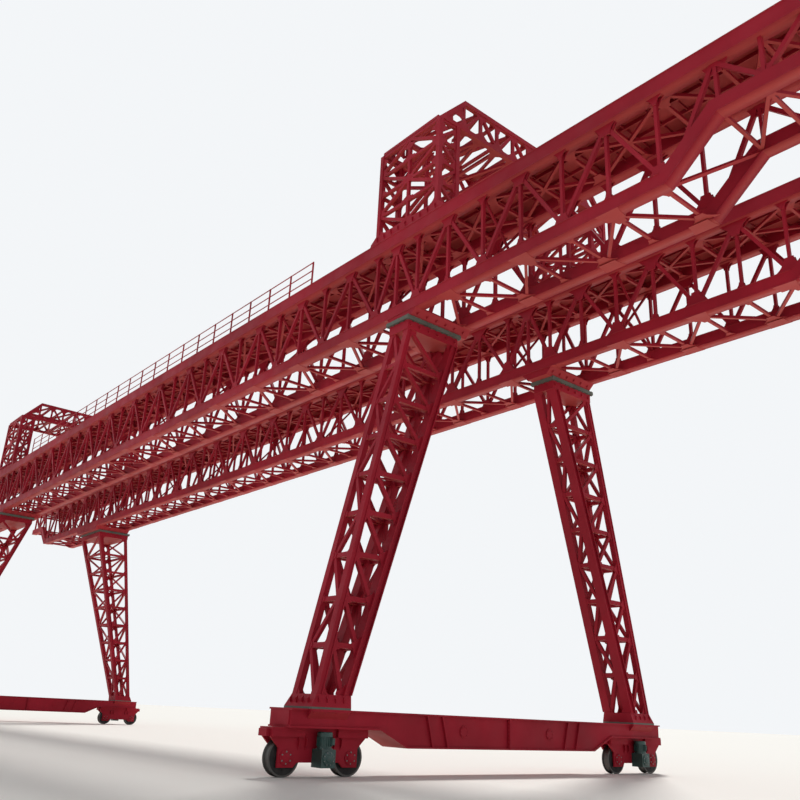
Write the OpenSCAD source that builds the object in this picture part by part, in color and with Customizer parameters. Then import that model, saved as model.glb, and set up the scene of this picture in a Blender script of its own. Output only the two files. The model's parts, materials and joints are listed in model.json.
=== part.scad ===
// Twin-girder lattice gantry crane, built as a 1:2 scale model, in millimetres.
// X runs along the girders, Y along the rails that the crane travels on, Z is up.
// The origin is the centre of the crane at the level that its wheels stand on.
// Left is -X, right is +X, front is -Y and rear is +Y.

/* [Girders] */
// Length of a side-truss panel, from one lower joint to the next
panel = 1600; // [1400:10:1640]
// Whole panels between the two leg pairs
span_panels = 13; // [9:1:13]
// Distance from a slim leg's centre to each of the two uprights above it
leg_upright = 270; // [200:10:320]
// Distance from a slim leg's centre to the first upper joint of its cantilever
arm_apex = 1015; // [900:5:1150]
// Distance from a broad leg's centre to each of the two uprights above it
rigid_upright = 320; // [250:10:380]
// Distance from a broad leg's centre to the joints at the ends of its bracket
rigid_apex = 965; // [900:5:1080]
// Length of a cantilever, from its leg's centre to the kink in the lower chords
arm_len = 4950; // [4500:10:5200]
// Whole panels of a cantilever, before its last half panel
arm_panels = 2; // [1:1:2]
// Length of the sloping part of the lower chords, near a cantilever's end
nose_run = 740; // [680:5:850]
// Rise of the lower chords over that sloping part
nose_rise = 640; // [400:10:720]
// Length of the shallow end of a cantilever
nose_len = 1150; // [1000:5:1300]
// Width of one girder over its chords
girder_w = 1260; // [1150:10:1400]
// Height of one girder over its chords
girder_h = 1640; // [1500:5:1800]
// Clear width between the two girders
girder_gap = 2100; // [1900:10:2400]
// Width of every chord box
chord_w = 180; // [150:5:220]
// Height of an upper chord box
top_chord_h = 240; // [200:5:270]
// Height of a lower chord box
low_chord_h = 195; // [170:5:220]

/* [Bracing] */
// Thickness of the side-truss bars, across the girder
web_t = 55; // [45:5:80]
// Width of a side-truss diagonal, seen from the side
diagonal_w = 58; // [50:2:80]
// Width of a side-truss upright, seen from the side
upright_w = 46; // [40:2:60]
// Thickness of the joint plates in the side trusses
gusset_t = 20; // [10:1:30]
// Length of a joint plate along its chord
gusset_w = 330; // [260:10:380]
// Depth of a joint plate
gusset_h = 150; // [110:5:180]
// Width and height of the bars that brace the girder from below and above
lateral_w = 46; // [40:1:60]
// Thickness of the walkway plate between the upper chords
deck_t = 16; // [10:1:30]
// Depth of the walkway plate below the top of the chords
deck_drop = 20; // [10:1:40]
// Depth of the two stringers under the walkway plate
stringer_h = 60; // [40:5:70]

/* [Handrail] */
// Height of the handrail above the chord
rail_h = 540; // [450:10:650]
// Diameter of the handrail's three rails
rail_d = 22; // [16:1:32]
// Number of handrail posts, half a panel apart
rail_posts = 22; // [8:2:24]
// Width of a handrail post along the girder
rail_post_w = 34; // [24:2:50]

/* [Trolley rails] */
// Height of a trolley rail
trolley_rail_h = 60; // [40:2:90]
// Width of a trolley rail's head
trolley_rail_w = 36; // [24:2:50]

/* [Portals] */
// Height from the girder tops to the underside of a portal's beam
tower_h = 1880; // [1600:10:2200]
// Depth of a portal's beam
portal_beam_h = 665; // [560:5:800]
// Width of a portal's sloping corner
portal_corner = 600; // [480:10:720]
// Width of a portal's tower across the crane
tower_w = 490; // [420:10:560]
// Length of a portal along the girders
portal_len = 1615; // [1400:5:1800]
// Size of a portal's chord boxes
portal_chord = 84; // [70:2:96]
// Size of a portal's bracing bars
portal_bar = 54; // [44:2:62]
// Height of the base beams below the towers
portal_base_h = 165; // [120:5:210]
// How far a base beam runs on past its tower
portal_base_over = 145; // [80:5:200]
// Number of bays in a tower
tower_bays = 4; // [3:1:5]
// Number of bays in half of a portal's beam
beam_bays = 4; // [3:1:5]

/* [Legs] */
// Height of a leg, from the sill to its joint with the girder
leg_h = 5985; // [5500:5:6600]
// Distance from the crane's centre line to the centre of a foot
foot_y = 3400; // [3000:10:3600]
// Length of a foot along the girders, over its posts
foot_x_len = 550; // [480:10:620]
// Width of a foot across the crane, over its posts
foot_y_len = 530; // [450:10:600]
// Distance from the crane's centre line to the centre of a leg's head
head_y = 1740; // [1680:10:1780]
// Width of a leg's head across the crane, over its posts
head_y_len = 1100; // [980:10:1150]
// Length of a slim leg's head along the girders, over its posts
head_x_len = 440; // [400:10:520]
// Length of a broad leg's head along the girders, over its posts
rigid_head_x_len = 1830; // [1500:10:1880]
// Size of a leg's two outer corner posts
outer_post = 90; // [76:2:110]
// Size of a leg's two inner corner posts
inner_post = 130; // [110:5:150]
// Size of the bars between the posts
leg_bar = 58; // [44:2:72]
// Number of bays in a leg
leg_bays = 9; // [7:1:11]
// Height of the skirt at a leg's foot
foot_h = 180; // [140:5:230]
// How far the skirt spreads past the posts
skirt_over = 46; // [30:2:60]
// Thickness of the plate under a foot
foot_plate_t = 25; // [15:1:35]
// Height of the box at a leg's head
head_h = 160; // [130:5:220]
// Overhang of the head box past the posts
box_over = 12; // [8:1:20]
// Thickness of each of the two flanges in a leg's joint
flange_t = 32; // [20:1:40]
// Overhang of the flanges past the head box
flange_over = 42; // [30:1:50]
// Height of the bracket between the joint and the lower chords
bracket_h = 160; // [130:5:220]

/* [Sills] */
// Height of the top of the sill beams above the ground
sill_top = 810; // [780:5:900]
// Width of a sill beam over its webs
sill_w = 470; // [420:10:540]
// Depth of a sill beam in its middle
sill_mid_h = 450; // [400:5:500]
// Depth of a sill beam at its ends
sill_end_h = 230; // [210:5:260]
// Half length of the deep middle of a sill beam
sill_mid_y = 2050; // [1800:10:2150]
// Length of the slope between the middle and an end
sill_haunch = 480; // [350:10:520]
// Length of a sill beam past the centres of its end wheels
sill_over = 60; // [20:5:120]
// Thickness of a sill beam's upper and lower flange plates
sill_plate_t = 22; // [14:1:30]
// Overhang of those plates past the webs
sill_lip = 35; // [20:1:50]
// Thickness of the sloping ribs on the webs
rib_t = 24; // [14:1:36]
// Thickness of the pad that carries a foot
pad_t = 30; // [20:1:40]

/* [Bogies and wheels] */
// Distance from the crane's centre line to the centre of a bogie
bogie_y = 3400; // [3350:10:3600]
// Distance between the two wheels of a bogie
wheel_base = 1000; // [900:10:1100]
// Diameter of a wheel over its flanges
wheel_d = 460; // [420:5:480]
// Depth of a wheel's flanges
wheel_flange = 20; // [14:1:28]
// Width of a wheel over its flanges
wheel_w = 130; // [110:2:150]
// Diameter of an axle
axle_d = 90; // [70:2:110]
// Thickness of a bogie's side plates
bogie_plate = 30; // [20:1:40]
// Gap between a wheel and a side plate
wheel_gap = 12; // [8:1:20]
// Gap round an axle in its bearing
axle_gap = 1; // [0.5:0.5:2]
// Overhang of the boxes over the wheels past the side plates
fender_over = 45; // [30:5:60]
// Length of the buffer at each end of a bogie
buffer_len = 55; // [40:5:80]
// Diameter of a drive motor, which stands on its gear unit
motor_d = 180; // [150:5:200]
// Height of a drive motor
motor_len = 200; // [150:10:210]

/* [Hidden] */

red = "#A8202A";
grey = "#8C8F86";
dark = "#2B2B2D";
green = "#1F4A42";
eps = 1;

// Depth that a welded bar or plate runs into its own piece
weld = 20;

// Places along the girders
half_panel = panel / 2;
station_x = ((span_panels + 0.5) * panel + rigid_apex) / 2;
kink_x = station_x + arm_len;
nose_x = kink_x + nose_run;
end_x = nose_x + nose_len;
nose_angle = atan(nose_rise / nose_run);
kink_cut = low_chord_h * tan(nose_angle / 2);

// Joints of the side truss from left to right: even ones are low, odd ones are high
arm_steps = 2 * arm_panels + 1;
arm_end = arm_len - kink_cut - upright_w / 2;
function arm_joint(i, apex) = apex + i * (arm_end - apex) / arm_steps;
joints = concat(
    [for (i = [arm_steps : -1 : 0]) -station_x - arm_joint(i, rigid_apex)],
    [-station_x - rigid_upright, -station_x + rigid_upright],
    [for (i = [0 : 2 * span_panels]) -station_x + rigid_apex + i * half_panel],
    [station_x - leg_upright, station_x + leg_upright],
    [for (i = [0 : arm_steps]) station_x + arm_joint(i, arm_apex)]
);
last_joint = len(joints) - 1;

// Levels
joint_z = sill_top + leg_h;
low_z = joint_z + bracket_h;
top_z = low_z + girder_h;
web_low = low_z + low_chord_h;
web_top = top_z - top_chord_h;
nose_low = web_low + nose_rise;
portal_z = top_z + portal_base_h;
beam_z = top_z + tower_h;

// Places across the crane
inner_y = girder_gap / 2;
outer_y = inner_y + girder_w;
mid_y = inner_y + girder_w / 2;

function mix(a, b, t) = a + (b - a) * t;
function leg_t(z) = (z - sill_top) / leg_h;
function leg_x(z) = mix(foot_x_len / 2, $head_len / 2, leg_t(z));
function leg_in(z) = mix(foot_y - foot_y_len / 2, head_y - head_y_len / 2, leg_t(z));
function leg_out(z) = mix(foot_y + foot_y_len / 2, head_y + head_y_len / 2, leg_t(z));

// Turns a drawing of X and Z into a solid between two places on Y
module along_y(y0, y1) {
    translate([0, y1, 0]) rotate([90, 0, 0]) linear_extrude(y1 - y0) children();
}

// Turns a drawing of Y and Z into a solid between two places on X
module along_x(x0, x1) {
    translate([x0, 0, 0]) rotate([90, 0, 90]) linear_extrude(x1 - x0) children();
}

// A bar between two parallel faces, its ends cut along the first axis
module bar(p, q, w) {
    d = w / 2 * norm(q - p) / abs(q[1] - p[1]);
    polygon([[p[0] - d, p[1]], [p[0] + d, p[1]], [q[0] + d, q[1]], [q[0] - d, q[1]]]);
}

// A bar with square ends
module strip(p, q, w) {
    u = (q - p) / norm(q - p);
    n = [-u[1], u[0]] * w / 2;
    polygon([p + n, q + n, q - n, p - n]);
}

// The same bar, run on past both of its joints for something else to cut
module long_strip(p, q, w) {
    u = (q - p) / norm(q - p);
    strip(p - u * w, q + u * w, w);
}

module both_ends() {
    children();
    mirror([1, 0, 0]) children();
}

module both_sides() {
    children();
    mirror([0, 1, 0]) children();
}

// Chords
module top_chords() {
    for (y = [inner_y, outer_y - chord_w])
        translate([-end_x, y, web_top]) cube([2 * end_x, chord_w, top_chord_h]);
}

module low_chord_outline() {
    right = [[kink_x, 0], [nose_x, nose_rise], [end_x, nose_rise]];
    upper = [
        [end_x, nose_rise + low_chord_h],
        [nose_x - kink_cut, nose_rise + low_chord_h],
        [kink_x - kink_cut, low_chord_h]
    ];
    half = concat(right, upper);
    other = [for (i = [len(half) - 1 : -1 : 0]) [-half[i][0], half[i][1]]];
    translate([0, low_z]) polygon(concat(half, other));
}

module low_chords() {
    for (y = [inner_y, outer_y - chord_w])
        along_y(y, y + chord_w) low_chord_outline();
}

// Side truss
module joint_plate(x, z, up) {
    polygon([
        [x - gusset_w / 2, z], [x + gusset_w / 2, z],
        [x + gusset_w / 4, z + up * gusset_h], [x - gusset_w / 4, z + up * gusset_h]
    ]);
}

// Keeps what lies between the upper chords and the level part of the lower chords
module between_kinks() {
    flat_x = kink_x - kink_cut;
    intersection() {
        union() children();
        translate([-flat_x, web_low]) square([2 * flat_x, web_top - web_low]);
    }
}

module web_plates() {
    between_kinks()
        for (i = [0 : last_joint])
            joint_plate(joints[i], i % 2 == 0 ? web_low : web_top, i % 2 == 0 ? 1 : -1);
    for (end = [-1, 1]) {
        joint_plate(end * nose_x, web_top, -1);
        joint_plate(end * (nose_x + end_x) / 2, nose_low, 1);
    }
}

module web_bars() {
    for (i = [0 : last_joint - 1]) {
        a = [joints[i], i % 2 == 0 ? web_low : web_top];
        b = [joints[i + 1], i % 2 == 0 ? web_top : web_low];
        bar(a, b, diagonal_w);
    }
    for (x = joints)
        bar([x, web_low], [x, web_top], upright_w);
}

module nose_bars() {
    mid = (nose_x + end_x) / 2;
    far = end_x - upright_w / 2;
    for (x = [nose_x, mid, far])
        bar([x, nose_low], [x, web_top], upright_w);
    bar([nose_x, web_top], [mid, nose_low], diagonal_w);
    bar([mid, nose_low], [far - diagonal_w / 2, web_top], diagonal_w);
    intersection() {
        polygon([
            [kink_x - kink_cut, web_low], [nose_x - kink_cut, nose_low], [nose_x, nose_low],
            [nose_x, web_top], [kink_x - kink_cut, web_top]
        ]);
        strip([kink_x, web_low - low_chord_h], [nose_x, web_top + diagonal_w], diagonal_w);
    }
}

module side_truss(y) {
    along_y(y - web_t / 2, y + web_t / 2) {
        between_kinks() web_bars();
        both_ends() nose_bars();
    }
    along_y(y - gusset_t / 2, y + gusset_t / 2) web_plates();
}

module outer_truss() { side_truss(outer_y - chord_w / 2); }
module inner_truss() { side_truss(inner_y + chord_w / 2); }

// Bracing below and above, between the chords
brace_y0 = inner_y + chord_w;
brace_y1 = outer_y - chord_w;

module low_bracing_plan() {
    for (i = [0 : last_joint - 1])
        bar([joints[i], i % 2 == 0 ? brace_y0 : brace_y1],
            [joints[i + 1], i % 2 == 0 ? brace_y1 : brace_y0], lateral_w);
    for (x = joints)
        bar([x, brace_y0], [x, brace_y1], lateral_w);
}

module nose_plan(from_x) {
    far = end_x - lateral_w;
    for (x = [from_x, (from_x + far) / 2, far])
        bar([x, brace_y0], [x, brace_y1], lateral_w);
    bar([from_x, brace_y0], [(from_x + far) / 2, brace_y1], lateral_w);
    bar([(from_x + far) / 2, brace_y1], [far, brace_y0], lateral_w);
}

module low_bracing() {
    slope_len = norm([nose_run, nose_rise]);
    translate([0, 0, low_z + lateral_w / 2]) linear_extrude(lateral_w) low_bracing_plan();
    both_ends() {
        translate([0, 0, low_z + nose_rise + lateral_w / 2])
            linear_extrude(lateral_w) nose_plan(nose_x);
        translate([kink_x, 0, low_z]) rotate([0, -nose_angle, 0])
            translate([0, 0, lateral_w / 2]) linear_extrude(lateral_w)
                bar([lateral_w, brace_y1], [slope_len - lateral_w, brace_y0], lateral_w);
    }
}

module top_bracing() {
    translate([0, 0, web_top + lateral_w / 2]) linear_extrude(lateral_w) {
        for (x = joints)
            bar([x, brace_y0], [x, brace_y1], lateral_w);
        for (i = [0 : 2 : last_joint - 2]) {
            bar([joints[i], brace_y0], [joints[i + 2], brace_y1], lateral_w);
            bar([joints[i], brace_y1], [joints[i + 2], brace_y0], lateral_w);
        }
        both_ends() {
            nose_plan(nose_x);
            bar([kink_x, brace_y1], [nose_x, brace_y0], lateral_w);
        }
    }
}

module deck() {
    low = top_z - deck_drop - deck_t;
    wide = 2 * deck_t;
    translate([-end_x, brace_y0, low]) cube([2 * end_x, brace_y1 - brace_y0, deck_t]);
    for (t = [1 / 3, 2 / 3])
        translate([-end_x, mix(brace_y0, brace_y1, t) - wide / 2, low - stringer_h])
            cube([2 * end_x, wide, stringer_h + deck_t / 2]);
}

// Handrails on the outer upper chords
module handrail() {
    y = outer_y - chord_w / 4;
    first = -(rail_posts - 1) / 2 * half_panel;
    for (i = [0 : rail_posts - 1])
        translate([first + i * half_panel - rail_post_w / 2, y - rail_d / 2, top_z])
            cube([rail_post_w, rail_d, rail_h]);
    for (level = [1 : 3])
        translate([first, y, top_z + rail_h * level / 3 - rail_d / 2]) rotate([0, 90, 0])
            cylinder(d = rail_d, h = -2 * first, $fn = 8);
}

// Trolley rails on the inner upper chords
module trolley_rail() {
    y = inner_y + chord_w / 2;
    foot_w = 2 * trolley_rail_w;
    h = trolley_rail_h;
    web = trolley_rail_w / 3;
    along_x(-end_x, end_x) translate([y, top_z]) polygon([
        [-foot_w / 2, 0], [foot_w / 2, 0], [foot_w / 2, h / 6], [web / 2, h / 3],
        [web / 2, h * 2 / 3], [trolley_rail_w / 2, h * 3 / 4], [trolley_rail_w / 2, h],
        [-trolley_rail_w / 2, h], [-trolley_rail_w / 2, h * 3 / 4], [-web / 2, h * 2 / 3],
        [-web / 2, h / 3], [-foot_w / 2, h / 6]
    ]);
}

// Portals over the legs, drawn about X = 0
portal_x = portal_len / 2;
tower_y0 = outer_y - tower_w;
bar_in = (portal_chord - portal_bar) / 2;

module tower_end_faces(low, high, flip) {
    level = high - portal_bar / 2;
    a = flip ? tower_y0 + bar_in : outer_y - bar_in;
    b = flip ? outer_y - bar_in : tower_y0 + bar_in;
    for (x = [-portal_x + bar_in, portal_x - bar_in - portal_bar])
        along_x(x, x + portal_bar) {
            strip([tower_y0, level], [outer_y, level], portal_bar);
            strip([a, low], [b, level], portal_bar);
        }
}

module tower_side_faces(low, high, flip) {
    level = high - portal_bar / 2;
    corner = portal_x - bar_in;
    for (y = [tower_y0 + bar_in, outer_y - bar_in - portal_bar])
        along_y(y, y + portal_bar) {
            strip([-portal_x, level], [portal_x, level], portal_bar);
            for (side = [-1, 1])
                strip([flip ? 0 : side * corner, low], [flip ? side * corner : 0, level],
                    portal_bar);
            strip([0, low], [0, high], portal_bar);
        }
}

module tower_faces() {
    bay = (beam_z - portal_z) / tower_bays;
    for (k = [0 : tower_bays - 1]) {
        low = portal_z + k * bay;
        tower_end_faces(low, low + bay, k % 2 == 0);
        tower_side_faces(low, low + bay, k % 2 == 0);
    }
}

module portal_tower() {
    base_x = portal_x + portal_base_over;
    along_y(tower_y0, outer_y) polygon([
        [-base_x, top_z], [base_x, top_z], [base_x, top_z + portal_base_h / 3],
        [portal_x, portal_z], [-portal_x, portal_z], [-base_x, top_z + portal_base_h / 3]
    ]);
    for (x = [-portal_x, portal_x - portal_chord])
        for (y = [tower_y0, outer_y - portal_chord])
            translate([x, y, portal_z - weld])
                cube([portal_chord, portal_chord, beam_z - portal_z + weld]);
    intersection() {
        tower_faces();
        translate([-portal_x, tower_y0, portal_z - weld])
            cube([portal_len, tower_w, beam_z - portal_z + weld]);
    }
}

portal_top = beam_z + portal_beam_h;
corner_len = norm([portal_corner, portal_beam_h]);

// Half width of the portal's beam, at a height, shifted in by the width of a chord
function beam_half(z, chord) =
    outer_y - chord * corner_len / portal_beam_h
    - portal_corner * (z - beam_z) / portal_beam_h;

module beam_shape(chord) {
    low = beam_z + chord;
    high = portal_top - chord;
    polygon([
        [-beam_half(low, chord), low], [beam_half(low, chord), low],
        [beam_half(high, chord), high], [-beam_half(high, chord), high]
    ]);
}

// Joints along half of the portal's beam, from its centre out
beam_pitch = (outer_y - portal_corner) / beam_bays;

module beam_face_bars() {
    low = beam_z + portal_chord - weld;
    high = portal_top - portal_chord + weld;
    for (side = [-1, 1])
        for (i = [0 : beam_bays - 1]) {
            a = side * i * beam_pitch;
            b = side * (i + 1) * beam_pitch;
            bar([a, low], [a, high], portal_bar);
            bar([i % 2 == 0 ? a : b, low], [i % 2 == 0 ? b : a, high], portal_bar);
        }
    for (side = [-1, 1])
        bar([side * beam_bays * beam_pitch, low], [side * beam_bays * beam_pitch, high],
            portal_bar);
}

module beam_plan_bars(low_face) {
    x0 = -portal_x + portal_chord - weld;
    x1 = portal_x - portal_chord + weld;
    end = low_face ? outer_y - portal_chord / 2 : outer_y - portal_corner - portal_chord / 2;
    for (side = [-1, 1]) {
        for (i = [0 : beam_bays - 1]) {
            a = side * i * beam_pitch;
            b = side * (i + 1) * beam_pitch;
            bar([a, x0], [a, x1], portal_bar);
            bar([i % 2 == 0 ? a : b, x0], [i % 2 == 0 ? b : a, x1], portal_bar);
        }
        bar([side * end, x0], [side * end, x1], portal_bar);
    }
}

module portal_beam() {
    for (x = [-portal_x, portal_x - portal_chord]) {
        along_x(x, x + portal_chord) difference() {
            beam_shape(0);
            beam_shape(portal_chord);
        }
        along_x(x + bar_in, x + bar_in + portal_bar) beam_face_bars();
    }
    for (low_face = [true, false]) {
        z = low_face ? beam_z + bar_in : portal_top - bar_in - portal_bar;
        translate([0, 0, z]) rotate([0, 0, 90]) linear_extrude(portal_bar)
            mirror([0, 1, 0]) beam_plan_bars(low_face);
    }
}

// Legs, drawn at the front of the crane about X = 0, with Y pointing out. $head_len is the
// length of the leg's head along the girders.
foot_z = sill_top + foot_plate_t;
leg_z0 = sill_top + foot_h;
leg_z1 = joint_z - flange_t - head_h;
bar_side = (outer_post - leg_bar) / 2;
leg_fit = 0.2;
leg_far_x = rigid_head_x_len / 2 + foot_x_len;
leg_far_y = foot_y + foot_y_len;

module leg_x_band(sign, near, far, z0, z1) {
    polygon([
        [sign * (leg_x(z0) - near), z0], [sign * (leg_x(z0) - far), z0],
        [sign * (leg_x(z1) - far), z1], [sign * (leg_x(z1) - near), z1]
    ]);
}

module leg_y_band(outside, near, far, z0, z1) {
    function place(z, d) = outside ? leg_out(z) - d : leg_in(z) + d;
    polygon([
        [place(z0, near), z0], [place(z0, far), z0],
        [place(z1, far), z1], [place(z1, near), z1]
    ]);
}

module leg_box(z0, z1, over) {
    translate([-leg_x(leg_z1) - over, leg_in(leg_z1) - over, z0])
        cube([2 * (leg_x(leg_z1) + over), leg_out(leg_z1) - leg_in(leg_z1) + 2 * over, z1 - z0]);
}

module leg_posts() {
    z0 = leg_z0 - weld;
    z1 = leg_z1 + weld;
    for (sign = [-1, 1], outside = [false, true]) {
        w = outside ? outer_post : inner_post;
        intersection() {
            along_y(0, leg_far_y) leg_x_band(sign, 0, w, z0, z1);
            along_x(-leg_far_x, leg_far_x) leg_y_band(outside, 0, w, z0, z1);
        }
    }
}

// The skirt round a foot, which spreads from the posts down to the foot plate
module leg_skirt() {
    top = box_over / 2;
    x0 = foot_x_len / 2 + skirt_over;
    x1 = leg_x(leg_z0) + top;
    intersection() {
        along_y(0, leg_far_y)
            polygon([[-x0, foot_z], [x0, foot_z], [x1, leg_z0], [-x1, leg_z0]]);
        along_x(-leg_far_x, leg_far_x) polygon([
            [foot_y - foot_y_len / 2 - skirt_over, foot_z],
            [foot_y + foot_y_len / 2 + skirt_over, foot_z],
            [leg_out(leg_z0) + top, leg_z0], [leg_in(leg_z0) - top, leg_z0]
        ]);
    }
}

module leg() {
    leg_posts();
    leg_skirt();
    leg_box(leg_z1, joint_z - flange_t, box_over);
}

function level(k) = mix(leg_z0, leg_z1, k / leg_bays);

// Bars of one leg face, between two lines given as [at the foot, at the head]. Its diagonals
// all rise towards the second line, or they go to and fro.
module face_bars(from, to, zigzag, flip) {
    function a(z) = mix(from[0], from[1], (z - leg_z0) / (leg_z1 - leg_z0));
    function b(z) = mix(to[0], to[1], (z - leg_z0) / (leg_z1 - leg_z0));
    intersection() {
        polygon([
            [from[0], leg_z0], [to[0], leg_z0], [to[1], leg_z1], [from[1], leg_z1]
        ]);
        union() {
            for (k = [1 : leg_bays - 1])
                strip([a(level(k)) - leg_bar, level(k)], [b(level(k)) + leg_bar, level(k)],
                    1.2 * leg_bar);
            for (k = [0 : leg_bays - 1]) {
                up = !zigzag || (k + (flip ? 1 : 0)) % 2 == 0;
                long_strip([up ? a(level(k)) : b(level(k)), level(k)],
                    [up ? b(level(k + 1)) : a(level(k + 1)), level(k + 1)], leg_bar);
            }
        }
    }
}

module leg_bracing() {
    inner = inner_post + leg_fit;
    outer = outer_post + leg_fit;
    near = bar_side;
    far = bar_side + leg_bar;
    for (sign = [-1, 1])
        intersection() {
            along_x(-leg_far_x, leg_far_x) face_bars(
                [leg_in(leg_z0) + inner, leg_in(leg_z1) + inner],
                [leg_out(leg_z0) - outer, leg_out(leg_z1) - outer], false, false);
            along_y(0, leg_far_y) leg_x_band(sign, near, far, leg_z0, leg_z1);
        }
    for (outside = [false, true]) {
        w = outside ? outer : inner;
        xs = [leg_x(leg_z0) - w, leg_x(leg_z1) - w];
        intersection() {
            along_y(0, leg_far_y) face_bars(-xs, xs, true, outside);
            along_x(-leg_far_x, leg_far_x) leg_y_band(outside, near, far, leg_z0, leg_z1);
        }
    }
}

// Joint between a leg and the girder above it, and the plate under the leg's foot
module leg_joint() {
    wide = box_over + flange_over;
    difference() {
        leg_box(joint_z - flange_t, joint_z + flange_t, wide);
        leg_box(joint_z - flange_t - eps, joint_z + flange_t + eps, -outer_post / 2);
    }
    translate([-foot_x_len / 2 - skirt_over, foot_y - foot_y_len / 2 - skirt_over, sill_top])
        cube([foot_x_len + 2 * skirt_over, foot_y_len + 2 * skirt_over, foot_plate_t]);
}

module leg_bracket() {
    x = leg_x(leg_z1) + box_over;
    slope = bracket_h - flange_t;
    along_y(inner_y, outer_y) polygon([
        [-x, joint_z + flange_t], [x, joint_z + flange_t],
        [x + slope, low_z], [-x - slope, low_z]
    ]);
}

// Sill beams
sill_end_y = bogie_y + wheel_base / 2 + sill_over;
sill_low = sill_top - sill_mid_h;
sill_high = sill_top - sill_end_h;

// The underside of a sill beam, from its front end to its rear end, raised by a thickness
function sill_under(t) = [
    [-sill_end_y, sill_high + t], [-sill_mid_y - sill_haunch, sill_high + t],
    [-sill_mid_y, sill_low + t], [sill_mid_y, sill_low + t],
    [sill_mid_y + sill_haunch, sill_high + t], [sill_end_y, sill_high + t]
];

module sill_ribs() {
    low = sill_low + sill_plate_t / 2;
    high = sill_top - sill_plate_t / 2;
    for (side = [-1, 1], y = [sill_mid_y - sill_haunch, sill_mid_y - 1.6 * sill_haunch])
        bar([side * y, low], [side * (y + sill_haunch / 4), high], rib_t);
}

module foot_seat() {
    x = foot_x_len / 2 + skirt_over;
    side = sill_w / 2;
    along_y(foot_y - foot_y_len / 2 - skirt_over, foot_y + foot_y_len / 2 + skirt_over)
        polygon([
            [-x, sill_top], [x, sill_top], [x, sill_top - pad_t],
            [side - weld, sill_top - pad_t - (x - side + weld)],
            [-side + weld, sill_top - pad_t - (x - side + weld)], [-x, sill_top - pad_t]
        ]);
}

module sill() {
    wide = sill_w / 2 + sill_lip;
    ends = [[sill_end_y, sill_top], [-sill_end_y, sill_top]];
    under = sill_under(sill_plate_t);
    along_x(-sill_w / 2, sill_w / 2) polygon(concat(sill_under(0), ends));
    along_x(-wide, wide) {
        polygon(concat(sill_under(0), [for (i = [len(under) - 1 : -1 : 0]) under[i]]));
        translate([-sill_end_y, sill_top - sill_plate_t]) square([2 * sill_end_y, sill_plate_t]);
        sill_ribs();
    }
    both_sides() foot_seat();
}

// Bogies, drawn about their own centre
bogie_top = sill_top - sill_end_h;
axle_z = wheel_d / 2;
plate_x = wheel_w / 2 + wheel_gap;
bogie_end = wheel_base / 2 + wheel_d / 2 + 15;

module bogie_side() {
    pod = wheel_d / 4;
    low = axle_z - pod;
    notch = axle_z - pod / 2;
    roof = wheel_d + wheel_gap;
    w = wheel_base / 2;
    difference() {
        polygon([
            [-w - pod, low], [-w + pod, low], [-w + 1.5 * pod, notch], [w - 1.5 * pod, notch],
            [w - pod, low], [w + pod, low], [w + pod, axle_z + pod], [bogie_end, roof],
            [bogie_end, bogie_top], [-bogie_end, bogie_top], [-bogie_end, roof],
            [-w - pod, axle_z + pod]
        ]);
        for (y = [-w, w]) translate([y, axle_z]) circle(d = axle_d + 2 * axle_gap, $fn = 48);
    }
}

module bogie() {
    low = wheel_d + wheel_gap;
    inside = plate_x + bogie_plate / 2;
    outside = plate_x + bogie_plate + fender_over;
    gap_y = wheel_base / 2 - wheel_d / 2 - wheel_gap;
    for (x = [-plate_x - bogie_plate, plate_x])
        along_x(x, x + bogie_plate) bogie_side();
    translate([-inside, -bogie_end, low]) cube([2 * inside, 2 * bogie_end, bogie_top - low]);
    translate([-inside, -gap_y, axle_z + wheel_d / 4])
        cube([2 * inside, 2 * gap_y, bogie_top - axle_z - wheel_d / 4]);
    both_sides() {
        translate([-outside, gap_y, low]) cube([2 * outside, bogie_end - gap_y, bogie_top - low]);
        translate([-inside, bogie_end - weld, low])
            cube([2 * inside, buffer_len + weld, (bogie_top - low) * 0.8]);
    }
}

module wheel() {
    r = wheel_d / 2;
    tread = wheel_flange;
    side = wheel_w / 2;
    axle_end = side + wheel_gap + bogie_plate - axle_gap;
    rotate([0, 90, 0]) rotate_extrude($fn = 96) polygon([
        [0, -axle_end], [axle_d / 2, -axle_end], [axle_d / 2, -side],
        [r, -side], [r, -side + tread * 0.6], [r - tread, -side + tread],
        [r - tread, side - tread], [r, side - tread * 0.6], [r, side],
        [axle_d / 2, side], [axle_d / 2, axle_end], [0, axle_end]
    ]);
}

// A gear unit on the side of a bogie, between its wheels, with its motor standing on it
module travel_drive() {
    box = 1.2 * motor_d;
    x = plate_x + bogie_plate;
    translate([x, -box / 2, axle_z - box / 2]) cube([box, box, box]);
    translate([x + box / 2, 0, axle_z + box / 2 - weld])
        cylinder(d = motor_d, h = motor_len + weld, $fn = 48);
}

module at_bogie(x_side, y_side) {
    translate([x_side * station_x, y_side * bogie_y, 0]) children();
}

module placed_wheel(x_side, y_side, step) {
    at_bogie(x_side, y_side) translate([0, step * wheel_base / 2, axle_z]) wheel();
}

// The legs on the left are the broad ones
module at_leg(x_side, front) {
    $head_len = x_side < 0 ? rigid_head_x_len : head_x_len;
    translate([x_side * station_x, 0, 0]) mirror([0, front ? 1 : 0, 0]) children();
}

// Named pieces
module front_side() { mirror([0, 1, 0]) children(); }

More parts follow.
